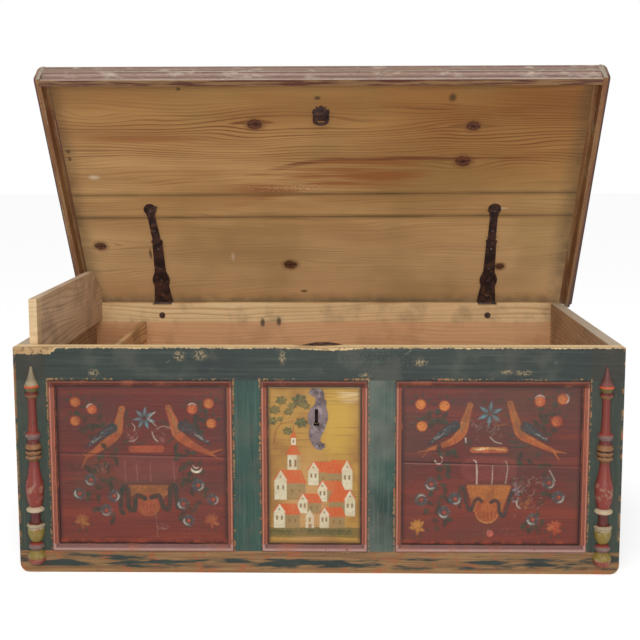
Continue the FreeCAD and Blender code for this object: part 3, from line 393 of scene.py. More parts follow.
def makeLidWood(look):
    material, at = newMaterial("lidPine", 0.62)
    x, out, up = lidCoordinates(at, look)
    figure = pineFigure(x, out, {"knots": look["knots"], "lines": 112, "sway": 0.12})
    flat = most(band(out, 0.45, 0.61, 0.035), band(out, 0.05, 0.2, 0.03))
    figure["lines"] = figure["lines"] * (flat * 0.8 + 0.3)
    tones = [look[name] for name in ("pale", "middle", "line", "knot", "core")]
    colour = pineTone(figure, tones, False)
    # paler towards the hinge and darker towards the front moulding, with painted shade on the upper right
    # (shadowed)
    shadowed = step(x, -0.1, 0.45) * step(out, 0.33, 0.44)
    green = step(noise(at, 3.2, 3), 0.42, 0.64) * 0.38
    colour = coats(colour, look, [
        ("paleTowardsHinge", step(out, 0.36, 0.06) * 0.5),
        ("honey", step(out, 0.42, 0.64) * 0.8, "MULTIPLY"),
        ("honey", shadowed * 0.95, "MULTIPLY"),
        ("greenish", green)])
    colour = addKnots(colour, figure, tones)
    # a resin streak that rises from the left and the redder wood below it
    top = step(x, -0.26, 0.05) * 0.062 + 0.408
    below = top - out
    stripes = step(stretched(x, out, 3, 75, 3, 2), 0.4, 0.6)
    ends = band(x, -0.2, 0.24, 0.07)
    patch = band(below, 0, 0.085, 0.012) * ends * stripes * 0.8
    dark = band(below, -0.007, 0.006, 0.004) * band(x, -0.17, 0.5, 0.05) * stripes * 0.75
    flame = spot(x, out, (-0.43, 0.527), (0.13, 0.009), 0.5) * 0.5
    crack = band(out + x * -0.03, 0.4938, 0.4952, 0.0007) * step(x, -0.46, -0.52)
    speckled = spot(x, out, (-0.09, 0.383), (0.1, 0.013), 0.6) * chips(at, 260, 0.6, 0.04)
    colour = coats(colour, look, [
        ("red", patch),
        ("streak", dark),
        ("red", flame),
        ("seam", crack * 0.8),
        ("chalk", speckled * 0.6)])
    for middle, reach in look["marks"]:
        colour = layer(colour, look["chalk"], spot(x, out, middle, reach, 0.7) * 0.55)
    for middle, reach in look["stains"]:
        colour = layer(colour, look["seam"], spot(x, out, middle, reach, 0.6) * 0.8)
    for seam in look["seams"]:
        lean = seam + 0.0022 + x * 0.006
        gap = abs(out - lean)
        uneven = 0.25 + noise(at, 9, 4) * 0.8
        colour = coats(colour, look, [
            ("shadow", step(gap, 0.012, 0.002) * uneven * 0.8),
            ("seam", step(gap, 0.0022, 0.0008) * uneven * 0.75)])
    # darker along the side mouldings, the hinge and the front moulding: grime with painted shade in the
    # corners where the mouldings meet the boards
    side = abs(x)
    grimeAndShade = most(step(side, 0.585, 0.635), step(out, 0.045, 0.008))
    grimeAndShade = most(grimeAndShade, step(out, 0.655, 0.69))
    colour = coats(colour, look, [
        ("grime", grimeAndShade * noise(at, 30, 3) * 0.9),
        ("seam", chips(at, 240, 0.76, 0.03) * 0.5)])
    rubbed = step(stretched(x, out, 3, 34, 5, 9), 0.54, 0.7)
    painted = layer(look["top"], look["topDeep"], noise(at, 5, 4))
    painted = coats(painted, look, [
        ("topWorn", rubbed * 0.55),
        ("topWorn", chips(at, 90, 0.66, 0.03) * 0.8),
        ("seam", figure["lines"] * 0.25)])
    surface = look["topOfBoards"]
    colour = layer(colour, painted, step(up, surface - 0.003, surface - 0.001))
    height = figure["lines"] * -0.4 + figure["streaks"] * 0.4 + figure["knots"] * -0.5
    return finished(material, colour, height, 0.0004)


dress(makeLidWood(lid), "lid_front_board", "lid_middle_board", "lid_back_board")
print("lid boards dressed")


# Bare boards of the box, each with its grain along its own length
boxWood = {"behind": (0.3365, 0.339), "tones": ("#f6d6a2", "#eac490", "#ce9e70", "#603826"),
    "redder": "#e09e70", "aged": ("#78624a", "#62503c", "#3e3226", "#2d221a"), "grime": "#584836",
    "brown": ("#d4b694", "#be9c7a", "#967456", "#503426")}


def nearRim(z):
    return step(z, 0.4885, 0.4897)


def aged(colour, figure, wood, shown):
    # the darkened outside of the back and the bottom
    return layer(colour, pineTone(figure, wood["aged"]), shown)


def barePine(name, axes, look, tones, knots=(), seed=0):
    material, at = newMaterial(name, 0.68)
    parts = split(at)
    along, across = parts[axes[0]], parts[axes[1]]
    figure = pineFigure(along, across, {"knots": knots, "seed": seed})
    colour = pineTone(figure, tones)
    colour = layer(colour, look["grime"], chips(at, 9, 0.56, 0.1) * 0.35)
    height = figure["lines"] * -0.4 + figure["streaks"] * 0.4
    return material, at, parts, figure, colour, height


# Ends: green-grey outside, bare inside and on the rim
endPaint = {"paint": "#3a4e46", "deep": "#263632", "ochre": "#967044", "rim": "#c4b69e", "outside": 0.6382,
    "corner": 0.3382}


def addEndPaint(at, x, z, colour, figure, look, shown=0):
    # the colour with the ends' paint over it, and where that paint is worn
    low = step(z, 0.06, 0.01) * chips(at, 30, 0.48, 0.06)
    worn = most(most(chips(at, 26, 0.66, 0.03), chips(at, 110, 0.7, 0.03)), low)
    paint = coats(look["paint"], look, [
        ("deep", noise(at, 8, 4)),
        ("deep", figure["lines"] * 0.35),
        ("ochre", worn * 0.85)])
    outside = most(step(abs(x), look["outside"], look["outside"] + 0.001), shown)
    outside = outside * step(z, 0.4885, 0.4875)
    return layer(colour, paint, outside), worn * outside


def makeBackWood(wood):
    material, at, (x, y, z), figure, colour, height = barePine(
        "backPine", (0, 2), wood, wood["tones"], ((-0.3, 0.3, 0.012), (0.22, 0.12, 0.014)), 3)
    colour = layer(colour, wood["redder"], step(z, 0.44, 0.436) * 0.55)
    for middle in ((-0.162, 0.437), (-0.118, 0.44)):
        colour = layer(colour, wood["grime"], spot(x, z, middle, (0.006, 0.011)) * 0.9)
    colour = aged(colour, figure, wood, step(y, *wood["behind"]))
    return finished(material, addEndPaint(at, x, z, colour, figure, endPaint)[0], height, 0.0004)


def makeBottomWood(wood):
    material, _, (_, _, z), figure, colour, height = barePine(
        "bottomPine", (0, 1), wood, wood["brown"], ((0.1, 0.05, 0.016), (-0.35, -0.15, 0.013)), 5)
    return finished(material, aged(colour, figure, wood, step(z, 0.006, 0.003)), height, 0.0004)


dress(makeBackWood(boxWood), "back_lower_board", "back_upper_board", "back_top_board")
dress(makeBottomWood(boxWood), "bottom_front_board", "bottom_middle_board", "bottom_back_board",
    "bottom_batten_left", "bottom_batten_right")
print("box boards dressed")


def makeEndWood(look, wood):
    material, at, (x, y, z), figure, colour, height = barePine(
        "endPine", (1, 2), wood, wood["brown"], ((0.05, 0.33, 0.013), (-0.12, 0.16, 0.012)), 8)
    colour = layer(colour, look["rim"], nearRim(z) * 0.75)
    colour = aged(colour, figure, wood, step(y, *wood["behind"]))
    shown = step(y, -look["corner"], -look["corner"] - 0.001)
    colour, worn = addEndPaint(at, x, z, colour, figure, look, shown)
    return finished(material, colour, height + worn * -0.6, 0.0005)


dress(makeEndWood(endPaint, boxWood), "left_lower_board", "left_upper_board", "right_lower_board",
    "right_upper_board")
print("ends dressed")


# Front boards: dark red ground outside, bare inside, and painted shade in the keyhole cut
keyhole = {"middle": -0.003, "foot": 0.3175, "top": 0.358, "half": 0.0035, "footHalf": 0.006,
    "footTall": 0.011, "room": 0.0016, "dark": (0.312, 0.361), "darkHalf": (0.013, 0.011)}
fieldPaint = {"ground": "#5c261f", "warm": "#7a3424", "dull": "#502d28", "deep": "#3e1c18",
    "light": "#8e584c", "umber": "#5e3826", "seam": "#301614", "outside": -0.3305, "joint": 0.262,
    "jointFall": 0.0234, "leftEnd": -0.64, "hole": "#1a120e"}


def makeFrontWood(look, wood):
    material, at, (x, y, z), figure, colour, height = barePine(
        "frontPine", (0, 2), wood, wood["tones"], ((-0.21, 0.31, 0.013), (0.33, 0.14, 0.012)), 11)
    colour = layer(colour, wood["tones"][0], nearRim(z) * 0.8)
    paint = layer(look["ground"], look["deep"], noise(at, 8, 4))
    face = look["outside"]
    colour = layer(colour, paint, step(y, face + 0.0004, face - 0.0001))
    colour = addEndPaint(at, x, z, colour, figure, endPaint)[0]
    # near-black painted shade on the walls of the keyhole cut, so the hole looks deep
    beside = step(abs(x - keyhole["middle"]), *keyhole["darkHalf"])
    hole = beside * band(z, *keyhole["dark"], 0.001) * step(y, -0.314, -0.318)
    return finished(material, layer(colour, look["hole"], hole), height, 0.0004)


dress(makeFrontWood(fieldPaint, boxWood), "front_upper_board", "front_lower_board")
print("front boards dressed")


# Green frame of the front
openings = [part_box(side + "_panel_moulding") for side in ("left", "centre", "right")]
framePaint = {"rail": "#2a342f", "railLight": "#424c44", "stile": "#2c4a40", "stileLight": "#526458",
    "deep": "#1c2422", "ochre": "#9c764c", "orange": "#a45c36", "bare": "#ceb082", "brown": "#805c3a",
    "rosy": "#805c50", "scuffed": "#545248", "dust": "#7a7a70",
    "scuffs": (((0.43, 0.437), (0.014, 0.005)), ((0.395, 0.438), (0.01, 0.004)),
        ((-0.29, 0.472), (0.01, 0.009)), ((-0.246, 0.474), (0.012, 0.009)),
        ((-0.074, 0.468), (0.006, 0.012)), ((-0.47, 0.436), (0.01, 0.006)), ((0.1, 0.431), (0.01, 0.004)),
        ((0.215, 0.458), (0.012, 0.006))), "brownish": "#342c22", "speck": "#969688"}


def inset(x, z, low, high):
    # how far inside a rectangle a point lies; negative outside
    parts = []
    for value, start, end in ((x, low[0], high[0]), (z, low[1], high[1])):
        parts.append((end - start) / 2 - abs(value - (start + end) / 2))
    return least(*parts)


def openingDepth(x, z):
    depth = -1
    for low, high in openings:
        depth = most(depth, inset(x, z, (low[0], low[2]), (high[0], high[2])))
    return depth


def makeFramePaint(name, axes, look, base, light, wear):
    material, at = newMaterial(name, 0.5)
    parts = split(at)
    x, _, z = parts
    along, across = parts[axes[0]], parts[axes[1]]
    streak = stretched(along, across, 5, 170, 3)
    fine = stretched(along, across, 30, 600, 2, 3)
    colour = layer(base, look["deep"], step(noise(at, 6, 4), 0.4, 0.7) * 0.7)
    colour = layer(colour, light, step(streak, 0.5, 0.72) * 0.55)
    colour = coats(colour, look, [
        ("deep", step(streak, 0.46, 0.3) * 0.6),
        ("scuffed", step(noise(at, 13, 5), 0.5, 0.66) * 0.4),
        ("brownish", step(abs(x), 0.565, 0.575) * 0.55)])
    colour = layer(colour, light, step(fine, 0.58, 0.75) * 0.5)
    colour = coats(colour, look, [
        ("speck", chips(at, 420, 0.73, 0.02) * 0.6),
        ("rosy", chips(at, 34, 0.75, 0.02) * 0.6),
        ("speck", scratches(at, 38, 150, 0.74) * 0.5)])
    rough = noise(at, 44, 5) + noise(at, 7, 2) * 0.7 - 0.12
    fray = noise(at, 210, 4) * 1.3 + noise(at, 11, 2) * 0.9 - 0.6
    edge = step(openingDepth(x, z) + fray * 0.0075, 0.0002, 0.0011)
    chipped = edge * step(fray, 0.53 - wear, 0.6 - wear)
    sides = step(abs(x), 0.633, 0.6395)
    chipped = most(chipped, sides * step(rough, 0.72, 0.8))
    chipped = most(chipped, step(z + rough * 0.016, 0.026, 0.014))
    chipTone = layer(look["ochre"], look["orange"], step(noise(at, 40, 2), 0.5, 0.66))
    colour = layer(colour, chipTone, chipped * 0.9)
    return material, at, x, z, colour, streak, chipped, rough


def makeTopRail(look):
    material, at, x, z, colour, streak, _, rough = makeFramePaint(
        "railPaint", (0, 2), look, look["rail"], look["railLight"], -0.06)
    dip = spot(x, x, (0.03, 0.03), (0.075, 0.075), 0.6) * 0.004
    left = step(x + noise(at, 60, 4) * 0.03, -0.535, -0.552)
    edgeLine = z + rough * 0.0048 + dip + left * 0.013 - 0.003
    edgeLine = edgeLine + (noise(at, 170, 4) - 0.5) * 0.009
    bare = step(edgeLine, 0.4884, 0.4892)
    wood = coats(look["bare"], look, [
        ("ochre", left * 0.6),
        ("brown", chips(at, 160, 0.58, 0.05) * 0.7),
        ("deep", left * chips(at, 230, 0.62, 0.04) * 0.8)])
    colour = layer(colour, wood, bare)
    for middle, reach in look["scuffs"]:
        broken = spot(x, z, middle, reach, 0.8) * step(noise(at, 230, 4), 0.44, 0.56)
        colour = layer(colour, look["bare"], broken * 0.42)
    dense = spot(x, z, (0.12, 0.462), (0.09, 0.03), 0.6) * chips(at, 500, 0.62, 0.03)
    colour = layer(colour, look["speck"], dense * 0.6)
    return finished(material, colour, streak * 0.5 + bare * -0.8, 0.0005)


def makeBottomRail(look):
    material, at, x, z, colour, streak, _, _ = makeFramePaint(
        "bottomRailPaint", (0, 2), look, look["rail"], look["railLight"], 0.16)
    rubbed = step(0.035 + stretched(x, z, 9, 70, 4, 6) + step(z, 0.026, 0.046) * 0.14
        + step(z, 0.016, 0.004) * 0.14, 0.48, 0.6)
    wood = coats(look["ochre"], look, [
        ("brown", step(streak, 0.4, 0.6)),
        ("orange", chips(at, 26, 0.58, 0.05) * 0.8)])
    colour = layer(colour, wood, rubbed * 0.85)
    return finished(material, colour, streak * 0.5 + rubbed * -0.5, 0.0005)


def makeStiles(look):
    material, at, x, _, colour, streak, chipped, _ = makeFramePaint(
        "stilePaint", (2, 0), look, look["stile"], look["stileLight"], 0.05)
    dusty = band(x, 0.02, 0.3, 0.05) * step(noise(at, 9, 4), 0.3, 0.6) * 0.42
    colour = layer(colour, look["dust"], dusty)
    return finished(material, colour, streak * 0.5 + chipped * -0.8, 0.0005)


dress(makeTopRail(framePaint), "front_top_rail")
dress(makeBottomRail(framePaint), "front_bottom_rail")
dress(makeStiles(framePaint), "stile_outer_left", "stile_inner_left", "stile_inner_right",
    "stile_outer_right")
print("frame dressed")


# Panel mouldings
mouldingPaint = {"bleed": "#30302a", "red": "#8a4a38", "light": "#b4745c", "dark": "#542c26",
    "innerEdgeShade": "#38201c", "mauve": "#9e7c78", "chipsAndHighlight": "#ceb296", "orange": "#a45c3e", "wide": 0.015,
    "shade": "#ac948a"}


def makeMoulding(look):
    material, at = newMaterial("mouldingPaint", 0.42)
    x, _, z = split(at)
    depth = openingDepth(x, z) / look["wide"]
    # across the moulding from its outer edge: green bled from the frame, then red with painted highlights
    # on its crests (light), a darker band between them, and painted shade along its inner edge
    colour = ramp(depth + (noise(at, 45, 3) - 0.5) * 0.1, look, [
        (0, "bleed"), (0.05, "bleed"), (0.1, "red"), (0.24, "light"), (0.31, "light"), (0.37, "dark"),
        (0.44, "red"), (0.62, "red"), (0.7, "light"), (0.78, "red"), (0.86, "innerEdgeShade"), (1, "innerEdgeShade")])
    lower = step(z, 0.0655, 0.0625) * step(depth, 0.04, 0.12)
    colour = coats(colour, look, [
        ("mauve", lower * step(depth, 0.92, 0.8) * (0.35 + noise(at, 26, 4) * 0.6)),
        ("dark", lower * band(depth, 0.5, 0.74, 0.08) * 0.65),
        # a pale painted highlight along the crest of the bottom bars
        ("chipsAndHighlight", lower * band(depth, 0.28, 0.34, 0.04) * noise(at, 40, 3) * 0.9),
        ("shade", step(z, 0.402, 0.407), "MULTIPLY"),
        ("orange", chips(at, 24, 0.6, 0.1) * 0.45),
        ("chipsAndHighlight", chips(at, 150, 0.72, 0.02) * 0.75),
        ("dark", chips(at, 90, 0.66, 0.04) * 0.6)])
    return finished(material, colour, noise(at, 120, 3), 0.0004)


dress(makeMoulding(mouldingPaint), "left_panel_moulding", "centre_panel_moulding", "right_panel_moulding")
print("mouldings dressed")


# Edge of the lid
lidEdge = {"low": -0.0232, "tall": 0.058, "lip": "#8c6a48", "lipDark": "#583226", "fascia": "#b0948a",
    "line": "#583e36", "mauve": "#9c8078", "brown": "#8e725e", "top": "#c0a88c", "rub": "#cebeaa",
    "side": "#926c44", "sideRed": "#7c5032", "sideLight": "#ac9470", "purpleInShade": "#543a3a",
    "grain": "#aa9e8c"}


def makeLidEdge(look, lidLook):
    material, at = newMaterial("lidEdgePaint", 0.5)
    x, out, up = lidCoordinates(at, lidLook)
    share = (up - look["low"]) / look["tall"]
    front = ramp(share + (stretched(x, out, 14, 40, 3) - 0.5) * 0.06, look, [
        (0, "lip"), (0.04, "rub"), (0.09, "fascia"), (0.14, "mauve"), (0.26, "line"), (0.31, "mauve"),
        (0.44, "fascia"), (0.5, "line"), (0.55, "rub"), (0.6, "line"), (0.65, "brown"), (0.78, "mauve"),
        (0.83, "line"), (0.88, "brown"), (0.94, "brown"), (0.97, "top")])
    cloudy = stretched(x, up, 26, 90, 5, 2) + step(stretched(x, up, 9, 6, 1, 4), 0.4, 0.62) * 0.16
    rub = step(cloudy, 0.6, 0.76) * band(share, 0.16, 0.98, 0.08)
    mottle = stretched(x, up, 60, 260, 4, 6)
    front = coats(front, look, [
        ("brown", step(stretched(x, up, 3, 50, 3, 9), 0.42, 0.6) * 0.55),
        ("rub", rub * 0.6),
        ("brown", step(mottle, 0.48, 0.62) * 0.55),
        ("grain", step(mottle, 0.42, 0.3) * 0.5)])
    lip = layer(look["lip"], look["lipDark"], step(stretched(x, out, 9, 130, 4), 0.42, 0.58))
    front = layer(front, lip, step(share, 0.012, 0.004))
    outer = abs(x)
    side = coats(look["side"], look, [
        ("sideRed", step(stretched(out, x, 5, 60, 3), 0.4, 0.6)),
        ("sideLight", step(stretched(out, x, 8, 200, 4, 5), 0.56, 0.68) * 0.8),
        ("lipDark", chips(at, 190, 0.6, 0.05) * 0.55),
        # the outer round of the side mouldings faces down: purple paint darkened by painted shade
        ("purpleInShade", step(outer, 0.657, 0.663) * 0.85),
        # the inner face of the side mouldings by the boards darkened: a dark joint with painted shade
        ("line", step(outer, 0.634, 0.63) * 0.7)])
    foremost = step(out, 0.7075, 0.7085)
    fromFront = most(step(out, 0.6885, 0.6895) * step(outer, 0.6455, 0.6445), foremost)
    colour = layer(side, front, fromFront)
    grain = layer(look["grain"], look["line"], step(stretched(x, up, 300, 60, 2), 0.56, 0.66))
    colour = layer(colour, grain, foremost * step(outer, 0.6415, 0.6425) * 0.8)
    colour = layer(colour, look["line"], chips(at, 110, 0.66, 0.03) * 0.6)
    return finished(material, colour, noise(at, 120, 3) + rub * -0.5, 0.0004)


dress(makeLidEdge(lidEdge, lid), "lid_front_moulding", "lid_left_moulding", "lid_right_moulding")
print("lid edge dressed")


# Till
tillLook = {"lid": ("#e8ccac", "#d4b696", "#b29476", "#5a4232"), "edge": "#e0c08c",
    "board": ("#eeca98", "#deb482", "#b0845c", "#5e3a28")}


def makeTillWood(look, wood):
    lidWood, _, (_, y, _), _, colour, height = barePine(
        "tillLidPine", (1, 2), wood, look["lid"], (), 14)
    colour = layer(colour, look["edge"], step(y, -0.27, -0.276) * 0.5)
    board = barePine("tillPine", (1, 2), wood, look["board"], (), 17)
    return finished(lidWood, colour, height, 0.0004), finished(board[0], *board[4:], 0.0004)


tillLidWood, tillBoardWood = makeTillWood(tillLook, boxWood)
dress(tillLidWood, "till_lid")
dress(tillBoardWood, "till_divider", "till_floor")
print("till dressed")


# Forged iron
ironLook = {"dark": "#382c2c", "brown": "#58403a", "rust": "#7a5442", "grey": "#746464",
    "greyLight": "#968888", "greyDark": "#544646", "speck": "#a89484"}


def makeIron(name, look, dark, brown, rust, rustAmount):
    material, at = newMaterial(name, 0.5, 0.35)
    colour = coats(look[dark], look, [
        (brown, step(noise(at, 42, 4), 0.42, 0.62)),
        (rust, chips(at, 80, 0.6, 0.06) * rustAmount),
        ("speck", chips(at, 300, 0.68, 0.02) * 0.5)])
    return finished(material, colour, noise(at, 160, 4), 0.0007, step(noise(at, 60, 3), 0.2, 1.3) + 0.25)


darkIron = makeIron("forgedIron", ironLook, "dark", "brown", "rust", 0.8)
greyIron = makeIron("lockPlateIron", ironLook, "grey", "greyDark", "greyLight", 0.55)
for part in frame["record"]["subparts"]:
    if part["material_slot"] == "wrought_iron":
        dress(greyIron if part["node"].startswith("escutcheon") else darkIron, part["node"])
print("iron dressed")


# Balusters, turned smooth, each a half spindle on its stile
baluster = {"top": 0.45, "foot": 0.021, "radius": 0.02, "face": -0.34, "middle": 0.603, "sides": 56,
    "outline": ((0.005, 0.15, None), (0.094, 0.74, 0.36), (0.102, 0.8, None), (0.122, 0.56, None),
        (0.128, 0.56, None), (0.15, 0.62, 0.74), (0.165, 0.42, 0.46), (0.325, 0.52, 0.44),
        (0.332, 0.72, None), (0.358, 0.72, 0.86), (0.378, 0.62, 0.62), (0.392, 0.74, None),
        (0.416, 0.74, 0.88), (0.44, 0.74, 0.88), (0.464, 0.74, 0.88), (0.47, 0.52, None), (0.56, 0.78, 0.6),
        (0.64, 0.94, 0.96), (0.708, 0.66, 0.84), (0.712, 0.84, None), (0.732, 0.84, 0.98),
        (0.738, 0.54, None), (0.788, 0.54, 0.5), (0.795, 0.86, None), (0.812, 0.86, 1), (0.89, 0.46, 0.86),
        (0.898, 0.74, None), (0.922, 0.74, 0.88), (0.93, 0.6, None), (1, 0.62, 0.98)), "cream": "#9e8e70",
    "orange": "#ba5432", "green": "#62582c", "red": "#8a3a2e", "deepRed": "#642a24", "mauve": "#745a54",
    "ochre": "#865c3a", "belly": "#80372e", "pale": "#bca88a", "olive": "#847034", "lineDark": "#301a16"}


def balusterLevels(look):
    # round stretches as parabolas through their middle, in small steps
    levels = []
    start = 0, 0.03
    for down, out, bulge in look["outline"]:
        count = 1 if bulge is None else max(4, int(round((down - start[0]) / 0.006)))
        middle = (start[1] + out) / 2
        for index in range(1, count + 1):
            share = index / count
            radius = start[1] + (out - start[1]) * share
            if bulge is not None:
                radius += 4 * (bulge - middle) * share * (1 - share)
            levels.append((start[0] + (down - start[0]) * share, radius))
        start = down, out
    return levels


def makeBaluster(name, middle, look):
    deselectAll()
    long = look["top"] - look["foot"]
    previous = 0.03
    place = middle, look["face"], look["top"]
    bpy.ops.mesh.primitive_circle_add(vertices=look["sides"], radius=look["radius"] * previous,
        fill_type="NGON", location=place)
    piece = bpy.context.object
    piece.name = name
    bpy.ops.object.transform_apply(location=True, rotation=True, scale=True)
    bpy.ops.object.mode_set(mode="EDIT")
    bpy.ops.mesh.select_all(action="SELECT")
    depth = 0
    for down, radius in balusterLevels(look):
        bpy.ops.mesh.extrude_region_move(TRANSFORM_OT_translate={"value": (0, 0, -(down - depth) * long)})
        ratio = radius / previous
        bpy.ops.transform.resize(value=(ratio, ratio, 1), center_override=place)
        depth, previous = down, radius
    bpy.ops.mesh.select_all(action="SELECT")
    bpy.ops.mesh.bisect(plane_co=place, plane_no=(0, 1, 0), use_fill=True, clear_outer=True)
    bpy.ops.mesh.select_all(action="SELECT")
    bpy.ops.mesh.remove_doubles(threshold=1e-05)
    bpy.ops.mesh.normals_make_consistent(inside=False)
    bpy.ops.object.mode_set(mode="OBJECT")
    bpy.ops.object.shade_smooth_by_angle(angle=radians(32))
    deselectAll()
    return piece


def makeBalusterPaint(name, middle, look, spire, ball):
    material, at = newMaterial(name, 0.38)
    x, y, z = split(at)
    share = (look["top"] - z) / (look["top"] - look["foot"])
    colour = ramp(share + (noise(at, 120, 2) - 0.5) * 0.006, look, [
        (0, spire), (0.09, "orange"), (0.103, "green"), (0.123, "deepRed"), (0.14, "ochre"), (0.158, "red"),
        (0.334, "mauve"), (0.36, "deepRed"), (0.386, "ochre"), (0.414, "lineDark"), (0.418, "ochre"),
        (0.438, "lineDark"), (0.442, "ochre"), (0.462, "green"), (0.47, "belly"), (0.706, "pale"),
        (0.734, "deepRed"), (0.79, "cream"), (0.818, "olive"), (0.885, "red"), (0.896, ball),
        (0.927, "olive"), (0.965, "red")], constant=True)
    radius = ellipse(x, y, (middle, look["face"]), (look["radius"], look["radius"]))
    colour = coats(colour, look, [
        # paler on the thickest rings: rubbed paint with a painted highlight on the crests
        ("pale", step(radius, 0.78, 1) * step(noise(at, 90, 4), 0.5, 0.62) * 0.35),
        # darker where the spindle is thin: painted shade in its hollows
        ("lineDark", step(radius, 0.62, 0.45) * 0.35),
        ("lineDark", chips(at, 120, 0.64, 0.03) * 0.55),
        ("orange", chips(at, 60, 0.66, 0.04) * 0.5)])
    return finished(material, colour, noise(at, 140, 3), 0.0005)


for side, sign, spire, ball in (
        ("left", -1, "cream", "mauve"), ("right", 1, "#74423c", "#785c58")):
    middle = sign * baluster["middle"]
    turned = makeBaluster("turned_baluster_" + side, middle, baluster)
    turned.data.materials.append(makeBalusterPaint("balusterPaint_" + side, middle, baluster, spire, ball))
    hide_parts("baluster_" + side)
    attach(turned, "chest")
print("balusters turned")


# Strokes of paint, worked out on a canvas of points in millimetres

def newCanvas(wide, high, cell, tones):
    columns, rows = int(round(wide / cell)) + 1, int(round(high / cell)) + 1
    across, up = np.meshgrid(np.linspace(0, wide, columns), np.linspace(0, high, rows))
    return {"x": across, "z": up, "tone": np.zeros((rows, columns, 3)), "cover": np.zeros((rows, columns)),
        "axis": wide / 2, "tones": tones, "stepX": wide / (columns - 1), "stepZ": high / (rows - 1)}


def smoothed(points, widths):
    # a curve through the points, with the widths carried along
    data = np.column_stack([np.array(points, float), np.array(widths, float)])
    ends = np.vstack([data[0], data, data[-1]])
    rows = []
    for a, b, c, d in zip(ends, ends[1:], ends[2:], ends[3:]):
        for share in np.linspace(0, 1, 5)[:-1]:
            rows.append(0.5 * (2 * b + (c - a) * share + (2 * a - 5 * b + 4 * c - d) * share ** 2
                + (3 * b - a - 3 * c + d) * share ** 3))
    rows.append(data[-1])
    return np.array(rows)


def lay(canvas, region, mask, tone):
    colour = np.array(srgb(canvas["tones"].get(tone, tone))[:3])
    old, cover = canvas["tone"][region], canvas["cover"][region]
    total = mask + cover * (1 - mask)
    share = (mask / np.maximum(total, 1e-6))[..., None]
    canvas["tone"][region] = old * (1 - share) + colour * share
    canvas["cover"][region] = total


def brush(canvas, points, widths, tone, strength=1.0, soft=1.6):
    if np.isscalar(widths):
        widths = [widths] * len(points)
    straight = np.column_stack([np.array(points, float), widths])
    line = smoothed(points, widths) if len(points) > 2 else straight
    line[:, 0] += canvas["axis"]
    reach = line[:, 2].max() + 2 * soft
    low, high = line[:, :2].min(axis=0) - reach, line[:, :2].max(axis=0) + reach
    rows, columns = canvas["x"].shape
    region = (slice(max(0, int(low[1] / canvas["stepZ"])), min(rows, int(high[1] / canvas["stepZ"]) + 2)),
        slice(max(0, int(low[0] / canvas["stepX"])), min(columns, int(high[0] / canvas["stepX"]) + 2)))
    x, z = canvas["x"][region], canvas["z"][region]
    if x.size == 0:
        return
    gap = np.full(x.shape, 1000.0)
    for start, end in zip(line, line[1:]):
        run = end - start
        share = ((x - start[0]) * run[0] + (z - start[1]) * run[1]) / (run[0] ** 2 + run[1] ** 2 + 1e-9)
        share = np.clip(share, 0, 1)
        away = np.hypot(x - start[0] - share * run[0], z - start[1] - share * run[1])
        gap = np.minimum(gap, away - start[2] - share * run[2])
    lay(canvas, region, strength * np.clip(0.5 - gap / soft, 0, 1), tone)


def dot(canvas, x, z, radius, tone, strength=1):
    brush(canvas, [(x, z), (x + 0.1, z)], radius, tone, strength)


def arcStroke(canvas, x, z, radius, start, end, width, tone, strength=1):
    end += 360 if end < start else 0
    points = [polar(x, z, radius, angle) for angle in np.radians(np.linspace(start, end, 7))]
    brush(canvas, points, [width * value for value in (0.4, 0.8, 1, 1, 1, 0.8, 0.4)], tone, strength)


paintTones = {"petal": "#323c3c", "petalLight": "#606a66", "petalPale": "#a09c8e", "flameDull": "#963e2c",
    "scroll": "#243028", "leaf": "#2c3a2a", "leafBlue": "#2c3e3c", "leafDark": "#2a2e22",
    "orange": "#b05c2c", "orangeDark": "#8e4226", "orangeLight": "#c88448", "white": "#c4b6a4",
    "dull": "#947c70", "slate": "#283434", "slateLight": "#5c6264", "teal": "#547276", "pink": "#9c6a60",
    "ochre": "#965e32", "ochreLight": "#b87e44", "flame": "#a6442a"}


def polar(x, z, reach, angle):
    return x + reach * cos(angle), z + reach * sin(angle)


def leaf(canvas, foot, tip, width, tone, strength=0.85):
    middle = (foot[0] + tip[0]) / 2, (foot[1] + tip[1]) / 2
    brush(canvas, [foot, middle, tip], [0.3 * width, width, 0.25 * width], tone, strength)


def sprig(canvas, spine, width=5.2, strength=0.95):
    # a stem with three pairs of leaves, the tones taken in turn and one leaf left out
    pairs, length, tones = 3, 18, ("leaf", "leafDark", "leafBlue")
    brush(canvas, spine, 0.9, "leafDark", 0.8 * strength)
    line = smoothed(spine, [1] * len(spine))
    last = len(line) - 1
    for index in range(pairs):
        at = int((index + 0.7) / pairs * last)
        place, ahead = line[at], line[min(last, at + 1)] - line[max(0, at - 1)]
        heading = atan2(ahead[1], ahead[0])
        for turn in (0.9, -0.9):
            number = index + (turn > 0)
            if number % 3 == 2:
                continue
            reach = length * (0.8 + 0.35 * sin(5.1 * index + 2 * turn))
            foot = polar(place[0], place[1], 2, heading + turn)
            leaf(canvas, foot, polar(*foot, reach, heading + turn), width, tones[number % 3], strength)


def fruit(canvas, x, z, radius, tone="#b26230", arc=None):
    dot(canvas, x, z, radius, "orangeDark", 0.85)
    dot(canvas, x, z, radius * 0.82, tone, 0.9)
    arcStroke(canvas, x, z, radius * 0.55, 60, 330, radius * 0.11, "orangeLight", 0.55)
    dot(canvas, x, z, radius * 0.26, "orangeLight", 0.5)
    if arc:
        arcStroke(canvas, x, z + 1, radius * 0.95, *arc, radius * 0.13, "white", 0.75)
    for angle in (70, 115, 160, 25):
        foot = polar(x, z, radius * 1.25, radians(angle))
        leaf(canvas, foot, polar(x, z, radius * 2.1, radians(angle + 8)), 3.2, "leaf", 0.75)


